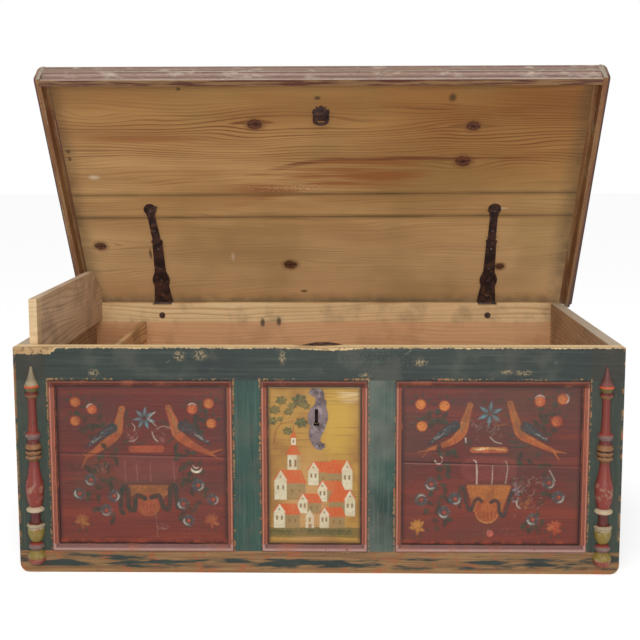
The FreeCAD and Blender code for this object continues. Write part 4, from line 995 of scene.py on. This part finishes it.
def daisy(canvas, x, z, radius, lit):
    # a blue-grey disc with short petals, lit along one side
    arcStroke(canvas, x, z, radius * 0.6, 0, 358, radius * 0.6, "petal", 0.85)
    for index in range(12):
        angle = radians(index * 30 + 10)
        points = [polar(x, z, radius * 0.55, angle), polar(x, z, radius * 1.04, angle)]
        strength = 0.2 + 0.35 * (index % 3 == 0)
        brush(canvas, points, [radius * 0.07, radius * 0.16], "petalLight", strength)
    middle = (lit[0] + lit[1] + (360 if lit[1] < lit[0] else 0)) / 2
    for reach, start, end, wide, tone, strength in (
            (0.84, -66, 20, 0.13, "white", 0.75), (0.74, -20, 58, 0.17, "petalPale", 0.525)):
        arcStroke(canvas, x, z, radius * reach, middle + start, middle + end, radius * wide, tone, strength)
    dot(canvas, x, z, radius * 0.36, "flameDull", 0.95)
    dot(canvas, x + 1, z + 1, radius * 0.14, "orangeLight", 0.4)


def star(canvas, x, z, petals, long, tone, light):
    for index in range(petals):
        angle = radians(84 + index * 360 / petals)
        points = [polar(x, z, share * long, angle) for share in (0.18, 0.55)] + [polar(x, z, long, angle)]
        brush(canvas, points, [0.08 * long, 0.22 * long, 0.02 * long], "slate", 0.9)
        brush(canvas, points, [0.02 * long, 0.17 * long, 0.01 * long], tone, 0.9)
        brush(canvas, points[1:], [0.04 * long, 0.02 * long], light, 0.6)
    dot(canvas, x, z, 0.13 * long, "leafDark", 0.9)


def bird(canvas, points, widths, forks, wing, tone, faint=1):
    # outline first, then the body inside it, then the folded wing
    brush(canvas, points, [width + 1.2 for width in widths], "orangeDark", 0.85)
    brush(canvas, points, widths, tone, 0.92)
    for lift, share, count, tint, strength in (
            (-0.28, 0.5, 7, "flame", 0.45), (0.15, 0.42, 4, "#86683c", 0.55)):
        moved = [(x, z + lift * width) for (x, z), width in zip(points[:count], widths)]
        brush(canvas, moved, [share * width for width in widths[:count]], tint, strength)
    for tip in forks:
        brush(canvas, [points[-1], tip], [widths[-1] * 0.9, 1.2], "orangeDark", 0.7 * faint)
        brush(canvas, [points[-1], tip], [widths[-1] * 0.7, 0.6], tone, 0.9 * faint)
    dot(canvas, points[0][0], points[0][1] + 1, 1.3, "leafDark", 0.8)
    shoulder, tip, swell = wing
    middle = shoulder[0] * 0.62 + tip[0] * 0.38, shoulder[1] * 0.62 + tip[1] * 0.38 + 1.5
    brush(canvas, [shoulder, middle, tip], [swell, swell * 0.8, 1.2], "slate", 0.95)
    run = np.array(tip, float) - np.array(shoulder, float)
    side = np.array([-run[1], run[0]]) / np.hypot(*run)
    dice = np.random.default_rng(int(abs(tip[0])))
    for index in range(46):
        share = 0.85 * dice.random() ** 1.1
        wide = swell * (0.8 - 0.75 * share)
        place = np.array(shoulder) + run * share + side * wide * (1.8 * dice.random() - 0.9)
        angle = dice.random() * pi
        reach = 2.0 + 3.5 * dice.random()
        tint = "white" if index % 6 == 0 and share > 0.3 else "slateLight"
        brush(canvas, [place, polar(*place, reach, angle)], 0.7, tint, 0.45)
    centre = np.array(shoulder) + run * 0.42
    brush(canvas, [centre, centre + run * 0.3 + side * 0.5], 0.8, "white", 0.5)


def scribble(canvas, x, z, wide, high, count, tone, seed, strength=0.5, width=0.7, long=9):
    dice = np.random.default_rng(seed)
    for _ in range(count):
        px, pz = x + wide * (dice.random() - 0.5), z + high * (dice.random() - 0.5)
        angle = dice.random() * pi
        reach = long * (0.4 + 0.6 * dice.random())
        bend = polar(px, pz, 0.5 * reach, angle)
        bend = bend[0] + 2 * dice.random() - 1, bend[1] + 2 * dice.random()
        shown = strength * (0.4 + 0.6 * dice.random())
        brush(canvas, [(px, pz), bend, polar(px, pz, reach, angle + 0.4)], width, tone, shown, 1.2)


def carnation(canvas, x, z, radius, tone):
    for angle in (40, 75, 110, 145, 185, 330):
        leaf(canvas, (x, z - 2), polar(x, z, radius, radians(angle)), radius * 0.26, tone, 0.7)
    leaf(canvas, (x, z - radius), (x, z), radius * 0.22, tone, 0.6)
    scribble(canvas, x, z, radius * 1.4, radius * 1.4, 12, "ochreLight", int(radius * 7 + abs(x)), 0.5)
    for angle in (200, 250, 290, 345):
        foot = polar(x, z, radius, radians(angle))
        leaf(canvas, foot, polar(*foot, 9, radians(angle)), 2.6, "leaf", 0.6)


def handle(canvas, points, width):
    brush(canvas, points, 1.35 * width, "leafDark", 0.8)
    brush(canvas, points, width, "scroll", 0.9)


def drawAll(canvas, rows):
    # each row: the kind of stroke, then what it takes
    for tool, *values in rows:
        tool(canvas, *values)


def paintLeftField(canvas):
    canvas["axis"] += 8
    for spine in (
            [(-118, 250), (-130, 262), (-140, 285)], [(-92, 250), (-100, 268), (-110, 282)],
            [(-100, 225), (-112, 245), (-128, 250)], [(95, 250), (104, 272), (120, 286)],
            [(100, 262), (118, 270), (132, 284)], [(112, 240), (124, 256), (134, 262)]):
        sprig(canvas, spine, 5)
    for x, z in ((-148, 308), (-149, 267), (135, 305), (140, 262)):
        fruit(canvas, x, z, 11.7)
    drawAll(canvas, [
        (fruit, -113, 292, 11.5, "#b45434", (80, 170)), (fruit, 100, 293, 12, "#b85432", (40, 140)),
        (bird, [(-49, 293), (-52, 282), (-56, 264), (-62, 242), (-80, 222), (-104, 204), (-126, 190)],
         [6.5, 6, 8.5, 11, 9, 6, 3.5], [(-138, 164), (-136, 197)], ((-70, 252), (-130, 207), 11),
         "#a05e32"),
        (bird, [(49, 296), (53, 284), (60, 266), (68, 240), (88, 222), (112, 208), (136, 197)],
         [6, 6.5, 9, 10, 8.5, 6, 4], [(162, 206), (158, 184)], ((80, 256), (140, 214), 12), "#a45c32"),
        (star, -2, 273, 7, 24, "teal", "#96aca8")])
    for tip in ((22, 287), (24, 255)):
        brush(canvas, [(6, 273), tip], [1, 0.8], "white", 0.75)
    for x in (-29, 34):
        for index in range(7):
            arcStroke(canvas, x, 236, 4 + index * 1.8, 200 + 12 * index, 330 - 6 * index, 0.8, "pink", 0.55)
        arcStroke(canvas, x - 2, 238, 15, 250 if x < 0 else 190, 345 if x < 0 else 250, 1.1, "white", 0.6)
    for points in (
            [(-28, 262), (-22, 254), (-24, 246)], [(24, 250), (38, 256), (52, 252)],
            [(14, 244), (18, 230), (26, 222)]):
        brush(canvas, points, 1, "white", 0.6)
    scribble(canvas, 38, 240, 40, 26, 14, "dull", 3, 0.5)
    scribble(canvas, -30, 240, 26, 30, 10, "dull", 4, 0.4)
    for foot, tip in (
            ((-38, 262), (-32, 256)), ((-20, 218), (2, 222)), ((38, 262), (52, 260)),
            ((-38, 226), (-48, 218)), ((44, 218), (62, 232)), ((-42, 276), (-36, 292)),
            ((24, 268), (46, 264)), ((-26, 272), (-44, 272))):
        leaf(canvas, foot, tip, 3.4, "leaf", 0.7)
    # urn: rim, faded body and footed bowl between two scrolls
    drawAll(canvas, [
        (brush, [(-30, 206), (32, 206)], 7.5, "#aa5434", 0.75),
        (brush, [(-32, 212), (34, 213)], 1.4, "flame", 0.7),
        (brush, [(-40, 163), (44, 163)], 27, "#703e36", 0.6, 6),
        (brush, [(-52, 190), (60, 188)], 1.3, "#603832", 0.6),
        (brush, [(-54, 130), (-30, 134), (40, 132)], 1.4, "#58463e", 0.6)])
    for x, top in ((-21, 172), (8, 176), (-46, 180), (58, 178)):
        brush(canvas, [(x, top), (x + 1, 155), (x + 2, 134)], 0.9, "pink", 0.55)
    drawAll(canvas, [
        (brush, [(-36, 124), (44, 124)], 3.5, "ochre", 0.9),
        (brush, [(-28, 112), (36, 112)], 10, "ochre", 0.85),
        (brush, [(-20, 100), (28, 100)], 9, "#a05e34", 0.85), (dot, 3, 83, 25, "#964a2e", 0.9)])
    for x in (-12, -4, 4, 12, 20):
        brush(canvas, [(x * 0.6, 100), (x, 84), (x * 0.7 + 1, 66)], 0.8, "ochreLight", 0.35)
    drawAll(canvas, [
        (arcStroke, 3, 83, 23, 190, 350, 1.6, "ochre", 0.7),
        (handle,
         [(-4, 98), (-18, 104), (-24, 98), (-26, 76), (-34, 72), (-40, 82), (-40, 112),
          (-46, 124), (-54, 112), (-56, 78), (-52, 66)],
         4.2),
        (handle,
         [(10, 100), (24, 104), (30, 96), (36, 78), (46, 76), (50, 92), (52, 122),
          (60, 126), (64, 108), (66, 82), (76, 76)],
         4.2)])
    for side in (-1, 1):
        for spine in (
                [(side * 62, 196), (side * 80, 170), (side * 78, 140)],
                [(side * 78, 176), (side * 96, 160), (side * 100, 140)],
                [(side * 74, 140), (side * 96, 120), (side * 128, 112)],
                [(side * 92, 66), (side * 104, 90), (side * 126, 100)],
                [(side * 66, 60), (side * 86, 58), (side * 110, 76)],
                [(side * 118, 150), (side * 112, 168), (side * 96, 182)],
                [(side * 56, 196), (side * 84, 206), (side * 96, 196)]):
            sprig(canvas, spine)
    for x, z, lit in (
            (-119, 138, (200, 300)), (-144, 108, (150, 260)), (-70, 103, (300, 60)), (-87, 71, (220, 340)),
            (111, 127, (260, 40)), (142, 96, (280, 60)), (78, 86, (150, 300)), (89, 49, (110, 330))):
        daisy(canvas, x, z, 12, lit)
    drawAll(canvas, [
        (arcStroke, 107, 168, 12, 200, 340, 2.4, "#e2d6ba", 0.9),
        (arcStroke, 107, 172, 7, 190, 320, 1.2, "#e2d6ba", 0.7),
        (scribble, -95, 160, 22, 16, 18, "pink", 6, 0.7), (carnation, -139, 47, 17, "ochre"),
        (carnation, 139, 49, 17, "#a85c38"), (scribble, 32, 32, 30, 16, 12, "dull", 7, 0.6),
        (brush, [(18, 66), (20, 40), (22, 12)], 0.8, "dull", 0.5),
        (scribble, 0, 170, 330, 330, 70, "dull", 9, 0.3, 0.5, 7)])
    canvas["axis"] -= 8


def paintRightField(canvas):
    canvas["axis"] -= 5
    for spine in (
            [(-100, 262), (-110, 280), (-122, 290)], [(-96, 258), (-98, 276), (-104, 290)],
            [(-112, 262), (-126, 270), (-136, 276)], [(104, 250), (110, 276), (112, 296)],
            [(110, 262), (124, 284), (140, 300)], [(118, 236), (128, 250), (136, 256)]):
        sprig(canvas, spine, 5)
    for x, z in ((-145, 304), (-95, 301), (-142, 257)):
        fruit(canvas, x, z, 12.3, "#cc7634")
    drawAll(canvas, [
        (fruit, 105, 311, 12.5, "#b85a32", (30, 150)), (fruit, 153, 316, 12.5, "#ba6232", (300, 60)),
        (fruit, 141, 268, 12.5, "#b04e2e"),
        (bird, [(-41, 303), (-45, 288), (-51, 268), (-58, 244), (-76, 226), (-104, 214), (-128, 206)],
         [5.5, 6, 8.5, 9.5, 7.5, 4.5, 2.5], [(-152, 200), (-140, 190)], ((-72, 258), (-130, 218), 11.5),
         "#aa6632", 0.6),
        (bird, [(43, 306), (48, 290), (56, 266), (66, 240), (90, 226), (118, 212), (136, 204)],
         [6, 6.5, 8.5, 9, 7, 5, 3.5], [(162, 200), (148, 184)], ((76, 256), (128, 222), 11.5), "#aa6432"),
        (star, 1, 284, 6, 27, "teal", "#8aaaac"), (dot, 1, 284, 4, "#604632", 0.9)])
    for foot, tip in (
            ((-16, 304), (-8, 318)), ((18, 308), (26, 318)), ((32, 284), (42, 278)), ((40, 226), (66, 222)),
            ((46, 212), (90, 216)), ((-52, 214), (-46, 230)), ((-44, 212), (-38, 230)),
            ((52, 240), (42, 236))):
        leaf(canvas, foot, tip, 3.6, "leaf", 0.7)
    drawAll(canvas, [
        (brush, [(-50, 232), (-49, 222)], [1.8, 1], "white", 0.85),
        (scribble, -8, 250, 60, 46, 34, "dull", 13, 0.6, 0.8, 14),
        (brush, [(2, 234), (12, 224), (26, 220)], 1.2, "white", 0.7),
        (brush, [(10, 258), (36, 262)], 0.9, "ochreLight", 0.5),
        (brush, [(-34, 206), (34, 206)], 6.5, "#b8623a", 0.85),
        (brush, [(-32, 208), (0, 210), (34, 206)], 2.2, "#e0a85c", 0.85),
        (brush, [(-27, 206), (-10, 208)], 1.2, "#f0debe", 0.8),
        (brush, [(-34, 165), (34, 165)], 26, "#843e36", 0.5, 6),
        (brush, [(-32, 184), (-27, 180), (-25, 160), (-25, 132)], [0.8, 1.4, 1.7, 1.2], "#dcc8b6", 0.9),
        (brush, [(8, 172), (8, 150), (7, 132)], 1.1, "white", 0.65),
        (brush, [(36, 182), (40, 168), (38, 150), (36, 134)], 1.1, "white", 0.6),
        (brush, [(-44, 130), (44, 130)], 1.2, "#785432", 0.8)])
    for level in range(8):
        share = level / 7
        left, right = -42 + 14 * share, 44 - 18 * share
        brush(canvas, [(left, 125 - 50 * share), (right, 125 - 50 * share)], 4.2, "#b26c32", 0.85)
    for index in range(9):
        x = -38 + index * 9.5
        brush(canvas, [(x, 127), (x * 0.72, 78)], 0.8, "#92542a", 0.5)
    dot(canvas, -2, 71, 26, "#a04e28", 0.9)
    arcStroke(canvas, -2, 71, 24, 185, 350, 2.2, "ochreLight", 0.7)
    for x in (-14, -6, 4, 13):
        brush(canvas, [(x * 0.5, 88), (x, 72), (x * 0.8, 54)], 1, "ochreLight", 0.4)
    drawAll(canvas, [
        (handle,
         [(-14, 94), (-22, 100), (-30, 92), (-34, 78), (-40, 74), (-46, 90), (-50, 112), (-54, 126)], 3),
        (handle, [(6, 92), (14, 96), (22, 90), (24, 70), (32, 62), (38, 72), (44, 96), (52, 118)], 3),
        (brush, [(-60, 126), (-61, 100), (-60, 80)], [3, 4.6, 3.4], "leafDark", 0.8)])
    for spine in (
            [(-84, 206), (-82, 180), (-92, 150)], [(-84, 176), (-96, 164), (-108, 150)],
            [(-88, 130), (-104, 120), (-122, 116)], [(-92, 110), (-96, 84), (-86, 50)],
            [(-98, 88), (-116, 84), (-132, 78)], [(-110, 196), (-92, 206), (-80, 200)],
            [(-84, 60), (-104, 50), (-112, 38)], [(56, 180), (80, 186), (104, 190)],
            [(110, 180), (120, 160), (128, 148)], [(120, 120), (118, 94), (100, 70)],
            [(92, 40), (100, 34), (118, 44)], [(72, 46), (84, 38), (96, 34)]):
        sprig(canvas, spine)
    for x, z, lit in (
            (-121, 131, (190, 320)), (-142, 97, (60, 160)), (-70, 99, (240, 30)), (-93, 69, (200, 330)),
            (128, 135, (250, 60)), (149, 103, (260, 30)), (95, 54, (200, 280))):
        daisy(canvas, x, z, 12.5, lit)
    drawAll(canvas, [
        (scribble, 80, 112, 62, 66, 40, "leaf", 15, 0.7, 1.4, 11),
        (scribble, 84, 110, 62, 70, 46, "dull", 16, 0.75, 0.8, 9),
        (scribble, 58, 112, 18, 44, 26, "#969096", 17, 0.7, 0.8, 9),
        (scribble, 74, 78, 40, 40, 16, "ochre", 18, 0.7, 1.6, 9),
        (arcStroke, 72, 90, 12, 150, 260, 1.6, "white", 0.7),
        (brush, [(128, 162), (134, 152), (140, 140)], 1.3, "white", 0.7),
        (arcStroke, -106, 184, 8, 180, 330, 2, "#dcccb8", 0.85),
        (arcStroke, -104, 186, 6, 330, 80, 1.2, "#c8b4a0", 0.6), (dot, -120, 184, 3.4, "leaf", 0.8),
        (carnation, -150, 37, 17, "#bc8038"), (carnation, 142, 36, 17, "#ac4e2e"),
        (dot, 5, 23, 7.5, "#cc624e", 0.75), (scribble, 5, 23, 14, 12, 10, "pink", 19, 0.6),
        (scribble, 10, 24, 90, 18, 16, "dull", 20, 0.35, 0.6, 14),
        (scribble, 0, 170, 350, 330, 80, "dull", 21, 0.3, 0.5, 7)])
    canvas["axis"] += 5


def polygon(canvas, corners, tone, strength=1.0):
    # a flat shape with convex corners, given either way round
    corners = np.array(corners, float) + (canvas["axis"], 0)
    sides = list(zip(corners, np.roll(corners, -1, axis=0)))
    turn = 1 if sum(a[0] * b[1] - a[1] * b[0] for a, b in sides) > 0 else -1
    inside = np.full(canvas["x"].shape, 1000.0)
    for start, end in sides:
        run = end - start
        run = run / max(np.hypot(*run), 1e-6)
        away = turn * (run[0] * (canvas["z"] - start[1]) - run[1] * (canvas["x"] - start[0]))
        inside = np.minimum(inside, away)
    lay(canvas, (slice(None), slice(None)), strength * np.clip(0.5 + inside / 1.2, 0, 1), tone)


villageTones = {"wall": "#d2caac", "wallLight": "#e4dec6", "shade": "#8c7650", "roof": "#c44e26",
    "roofLight": "#ce6838", "window": "#784e2e", "frame": "#583c28", "grass": "#4e522c",
    "grassDark": "#363e26", "leaf": "#3e4e30", "leafDark": "#2a3a2a", "branch": "#804826"}


def window(canvas, x, z, wide, high):
    for side, low, top, tone, strength in ((1, 1, 1, "frame", 0.85), (0.6, 0.8, 0.7, "window", 0.8)):
        left, right, foot, head = x - wide * side, x + wide * side, z - high * low, z + high * top
        polygon(canvas, [(left, foot), (right, foot), (right, head), (left, head)], tone, strength)


def house(canvas, x, z, gable, depth, wall, roof, side=1):
    # a gabled front with its long side running off to one side
    near, far = x + side * gable, x + side * (gable + depth)
    eaves, ridge = z + wall, (x + side * gable / 2, z + wall + roof)
    slope = side * gable * 0.35
    polygon(canvas, [(near, z), (far, z), (far, z + wall * 0.86), (near, z + wall * 0.9)], "shade", 0.95)
    polygon(canvas, [(near - side * 2, z + wall * 0.82), (far + side * 3, z + wall * 0.82),
                     (far - slope, ridge[1]), ridge], "roof", 0.97)
    for share in (0.15, 0.4, 0.65, 0.88):
        foot = near + side * depth * share
        head = foot - slope, z + wall + roof * 0.92
        brush(canvas, [(foot, z + wall * 0.86), head], 0.8, "roofLight", 0.45)
    polygon(canvas, [(x, z), (near, z), (near, eaves), ridge, (x, eaves)], "wall", 0.97)
    brush(canvas, [(x, eaves), ridge], 1.3, "roof", 0.9)
    brush(canvas, [(ridge[0], ridge[1] - 3), (near, eaves - 1)], 0.9, "wallLight", 0.8)
    dot(canvas, ridge[0], z + wall + roof * 0.28, 2, "frame", 0.8)
    for share in (0.3, 0.72):
        window(canvas, x + side * gable * share, z + wall * 0.62, 1.9, 4.6)
    for share in (0.3, 0.7):
        window(canvas, near + side * depth * share, z + wall * 0.45, 1.7, 3.6)


def paintVillage(canvas):
    # a made-up hamlet of the common kind, with a leafy branch over it
    canvas["axis"] = 0
    for z, tone, strength in ((30, "grass", 0.9), (24, "grassDark", 0.75), (19, "grass", 0.7)):
        brush(canvas, [(2, z), (60, z - 1), (120, z + 1), (193, z - 2)], 5.5, tone, strength)
    scribble(canvas, 97, 30, 190, 10, 60, "grassDark", 31, 0.6, 0.8, 6)
    # tower with a stepped cap, then the houses from the back to the front
    drawAll(canvas, [
        (polygon, [(40, 120), (66, 120), (66, 196), (40, 196)], "wall", 0.97),
        (polygon, [(60, 120), (66, 120), (66, 196), (60, 196)], "shade", 0.8),
        (polygon, [(36, 194), (70, 194), (53, 226)], "roof", 0.97),
        (polygon, [(48, 216), (58, 216), (58, 232), (48, 232)], "wallLight", 0.95),
        (polygon, [(45, 231), (61, 231), (53, 250)], "roof", 0.97),
        (brush, [(53, 249), (53, 258)], 0.9, "frame", 0.8), (window, 53, 224, 1.6, 4)])
    for x in (46, 57):
        window(canvas, x, 176, 2.4, 8)
    drawAll(canvas, [
        (house, 84, 128, 22, 34, 34, 18), (house, 178, 118, 22, 30, 44, 22, -1),
        (house, 12, 96, 26, 40, 44, 22), (house, 104, 92, 20, 36, 30, 16), (house, 62, 66, 20, 30, 28, 16),
        (house, 184, 60, 22, 34, 38, 20, -1), (house, 10, 34, 24, 32, 36, 18),
        (house, 108, 34, 20, 34, 30, 16),
        (polygon, [(78, 34), (96, 34), (96, 60), (87, 74), (78, 60)], "wall", 0.9),
        (window, 87, 52, 1.8, 5), (polygon, [(84, 34), (91, 34), (91, 43), (84, 43)], "branch", 0.8),
        (brush, [(12, 222), (16, 246), (28, 262), (54, 268)], [1.4, 1.3, 1.1, 0.8], "branch", 0.85),
        (brush, [(26, 262), (34, 282), (44, 300)], 0.9, "branch", 0.75)])
    for x, z, radius in (
            (28, 312, 12), (66, 312, 17), (50, 300, 10), (14, 292, 12), (43, 288, 10), (8, 268, 11),
            (70, 264, 14), (41, 246, 11), (25, 272, 7), (80, 300, 9)):
        for index in range(6):
            angle = radians(index * 60 + 7 * x)
            leaf(canvas, (x, z), (x + radius * cos(angle), z + radius * 0.8 * sin(angle)), radius
                * 0.36, "leaf" if index % 2 else "leafDark", 0.95)
        scribble(canvas, x, z, radius * 1.3, radius * 1.2, 8, "#78804c", int(x + z), 0.5, 0.8, 6)
    scribble(canvas, 97, 250, 180, 170, 26, "#8e622c", 33, 0.35, 0.5, 6)
    canvas["cover"] *= 0.96


def paintedPanel(name, low, high, cell, paint, tones, material, hole=None):
    # a thin closed sheet over a field, its front points carrying the strokes
    deselectAll()
    wide, tall = (high[0] - low[0]) * 1000, (high[1] - low[1]) * 1000
    body = sheet["proud"] + sheet["sunk"]
    canvas = newCanvas(wide, tall, cell, tones)
    paint(canvas)
    rows, columns = canvas["x"].shape
    bpy.ops.mesh.primitive_grid_add(x_subdivisions=columns - 1, y_subdivisions=rows - 1, size=1)
    piece = bpy.context.object
    piece.name = name
    piece.scale = wide / 1000, tall / 1000, 1
    piece.rotation_euler = radians(90), 0, 0
    piece.location = (low[0] + high[0]) / 2, sheet["face"] - sheet["proud"], (low[1] + high[1]) / 2
    bpy.ops.object.transform_apply(location=True, rotation=True, scale=True)
    places = np.empty(len(piece.data.vertices) * 3)
    piece.data.vertices.foreach_get("co", places)
    places = places.reshape(-1, 3)
    column = np.rint((places[:, 0] - low[0]) * 1000 / canvas["stepX"]).astype(int).clip(0, columns - 1)
    row = np.rint((places[:, 2] - low[1]) * 1000 / canvas["stepZ"]).astype(int).clip(0, rows - 1)
    values = np.column_stack([canvas["tone"][row, column], canvas["cover"][row, column]])
    strokes = piece.data.color_attributes.new("strokes", "FLOAT_COLOR", "POINT")
    strokes.data.foreach_set("color", values.ravel())
    if hole:
        cutKeyhole(piece, hole)
        solidify = piece.modifiers.new("body", "SOLIDIFY")
        solidify.thickness = body
        solidify.offset = -1
        bpy.ops.object.modifier_apply(modifier=solidify.name)
    bpy.ops.object.mode_set(mode="EDIT")
    if not hole:
        bpy.ops.mesh.select_all(action="SELECT")
        bpy.ops.mesh.region_to_loop()
        bpy.ops.mesh.extrude_edges_move(TRANSFORM_OT_translate={"value": (0, body, 0)})
        bpy.ops.mesh.edge_face_add()
    bpy.ops.mesh.select_all(action="SELECT")
    bpy.ops.mesh.normals_make_consistent(inside=False)
    bpy.ops.object.mode_set(mode="OBJECT")
    piece.data.materials.append(material)
    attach(piece, "chest")
    deselectAll()
    print("painted", name, len(piece.data.polygons), "faces")
    return piece


def cutKeyhole(piece, hole):
    # the squares of the sheet that lie in the keyhole go, a little wider than the plate's own hole
    bpy.ops.object.mode_set(mode="EDIT")
    bpy.ops.mesh.select_all(action="DESELECT")
    bpy.ops.mesh.select_mode(type="FACE")
    bpy.ops.object.mode_set(mode="OBJECT")
    for face in piece.data.polygons:
        centre = face.center
        half = hole["footHalf"] if centre.z < hole["foot"] + hole["footTall"] else hole["half"]
        inside = abs(centre.x - hole["middle"]) < half + hole["room"]
        face.select = inside and hole["foot"] - hole["room"] < centre.z < hole["top"] + hole["room"]
    bpy.ops.object.mode_set(mode="EDIT")
    bpy.ops.mesh.delete(type="FACE")
    bpy.ops.object.mode_set(mode="OBJECT")


sheet = {"face": -0.331, "proud": 0.0003, "sunk": 0.0002}
fields = {"left": (-0.553, -0.195), "centre": (-0.105, 0.09), "right": (0.179, 0.554), "low": 0.063,
    "high": 0.405}


def strokeLayer(at, ground, wear):
    node = at.socket.id_data.nodes.new("ShaderNodeAttribute")
    node.attribute_name = "strokes"
    strokes, shown = Value(node.outputs["Color"]), Value(node.outputs["Alpha"])
    rubbed = step(noise(at, 300, 4), 0.34, 0.58) * step(noise(at, 34, 5), 0.62, 0.46)
    cover = shown * (1 - wear + rubbed * wear)
    tone = layer(strokes, "#281814", most((noise(at, 120, 3) - 0.5) * 0.5, 0))
    return layer(ground, tone, cover), cover


def makeRedField(name, low, high, look, seamStrength):
    material, at = newMaterial(name, 0.42)
    x, _, z = split(at)
    streak = stretched(x, z, 7, 220, 3)
    wide = stretched(x, z, 2, 26, 3, 5)
    colour = layer(look["ground"], look["dull"], step(noise(at, 7, 3), 0.38, 0.62))
    warm = step(z, 0.24, 0.09) * 0.45 + step(wide, 0.45, 0.65) * 0.55
    wash = step(noise(at, 7, 5), 0.5, 0.66) * 0.45
    fineGrain = stretched(x, z, 40, 700, 2, 2)
    colour = coats(colour, look, [
        ("warm", least(warm, 0.85)),
        ("deep", step(streak, 0.5, 0.68) * 0.32),
        ("warm", step(streak, 0.46, 0.32) * 0.25),
        ("umber", wash),
        ("light", step(fineGrain, 0.56, 0.76) * 0.28)])
    colour, cover = strokeLayer(at, colour, 0.46)
    joint = z + (x - look["leftEnd"]) * look["jointFall"] - look["joint"]
    gap = abs(joint)
    seamStrength = (1 + step(x, 0.3, 0.46) * -0.65) * seamStrength
    colour = layer(colour, look["seam"], step(gap, 0.0018, 0.0006) * seamStrength)
    colour = layer(colour, "#96685c", band(joint, -0.0044, -0.002, 0.0008) * seamStrength * 0.45)
    # darker within a centimetre of the moulding: painted shade with dirt
    colour = layer(colour, look["deep"], step(inset(x, z, low, high), 0.01, 0) * 0.65)
    foot = step(z, low[1] + 0.012, low[1] + 0.002) * step(noise(at, 30, 4), 0.44, 0.6)
    colour = layer(colour, "#a0462e", foot * 0.6)
    colour = layer(colour, "#b2968a", chips(at, 330, 0.745, 0.015) * 0.55)
    height = streak * 0.5 + cover * 0.5 + step(gap, 0.0016, 0.0006) * -1.5
    return finished(material, colour, height, 0.0004)


villageGround = {"ochre": "#ac823e", "bright": "#c09a40", "brown": "#926634", "peach": "#be905e",
    "pale": "#ceb282", "line": "#704c28", "edge": "#604628"}


def makeVillageField(name, low, high, look):
    material, at = newMaterial(name, 0.42)
    x, _, z = split(at)
    streak = stretched(x, z, 8, 260, 3)
    colour = layer(look["ochre"], look["brown"], step(noise(at, 14, 4), 0.42, 0.68))
    rub = spot(x, z, (0.068, 0.388), (0.024, 0.016), 0.5) * step(streak, 0.42, 0.55)
    colour = coats(colour, look, [
        ("bright", spot(x, z, (0.04, 0.33), (0.035, 0.09), 0.7) * 0.8),
        ("peach", spot(x, z, (-0.02, 0.15), (0.05, 0.09), 0.7) * 0.8),
        ("pale", rub * 0.9),
        ("line", step(streak, 0.54, 0.7) * 0.45),
        ("line", chips(at, 120, 0.7, 0.03) * 0.5)])
    colour, cover = strokeLayer(at, colour, 0.3)
    # darker within a centimetre of the moulding: painted shade with dirt
    colour = layer(colour, look["edge"], step(inset(x, z, low, high), 0.009, 0) * 0.7)
    return finished(material, colour, streak * 0.5 + cover * 0.5, 0.0004)


for side, paint, cell, seamStrength in (("left", paintLeftField, 1.45, 0.45),
        ("right", paintRightField, 1.45, 0.9)):
    low, high = (fields[side][0], fields["low"]), (fields[side][1], fields["high"])
    ground = makeRedField("redField_" + side, low, high, fieldPaint, seamStrength)
    paintedPanel("painted_field_" + side, low, high, cell, paint, paintTones, ground)
low, high = (fields["centre"][0], fields["low"]), (fields["centre"][1], fields["high"])
paintedPanel("painted_field_centre", low, high, 1.3, paintVillage, villageTones,
             makeVillageField("villageField", low, high, villageGround), keyhole)
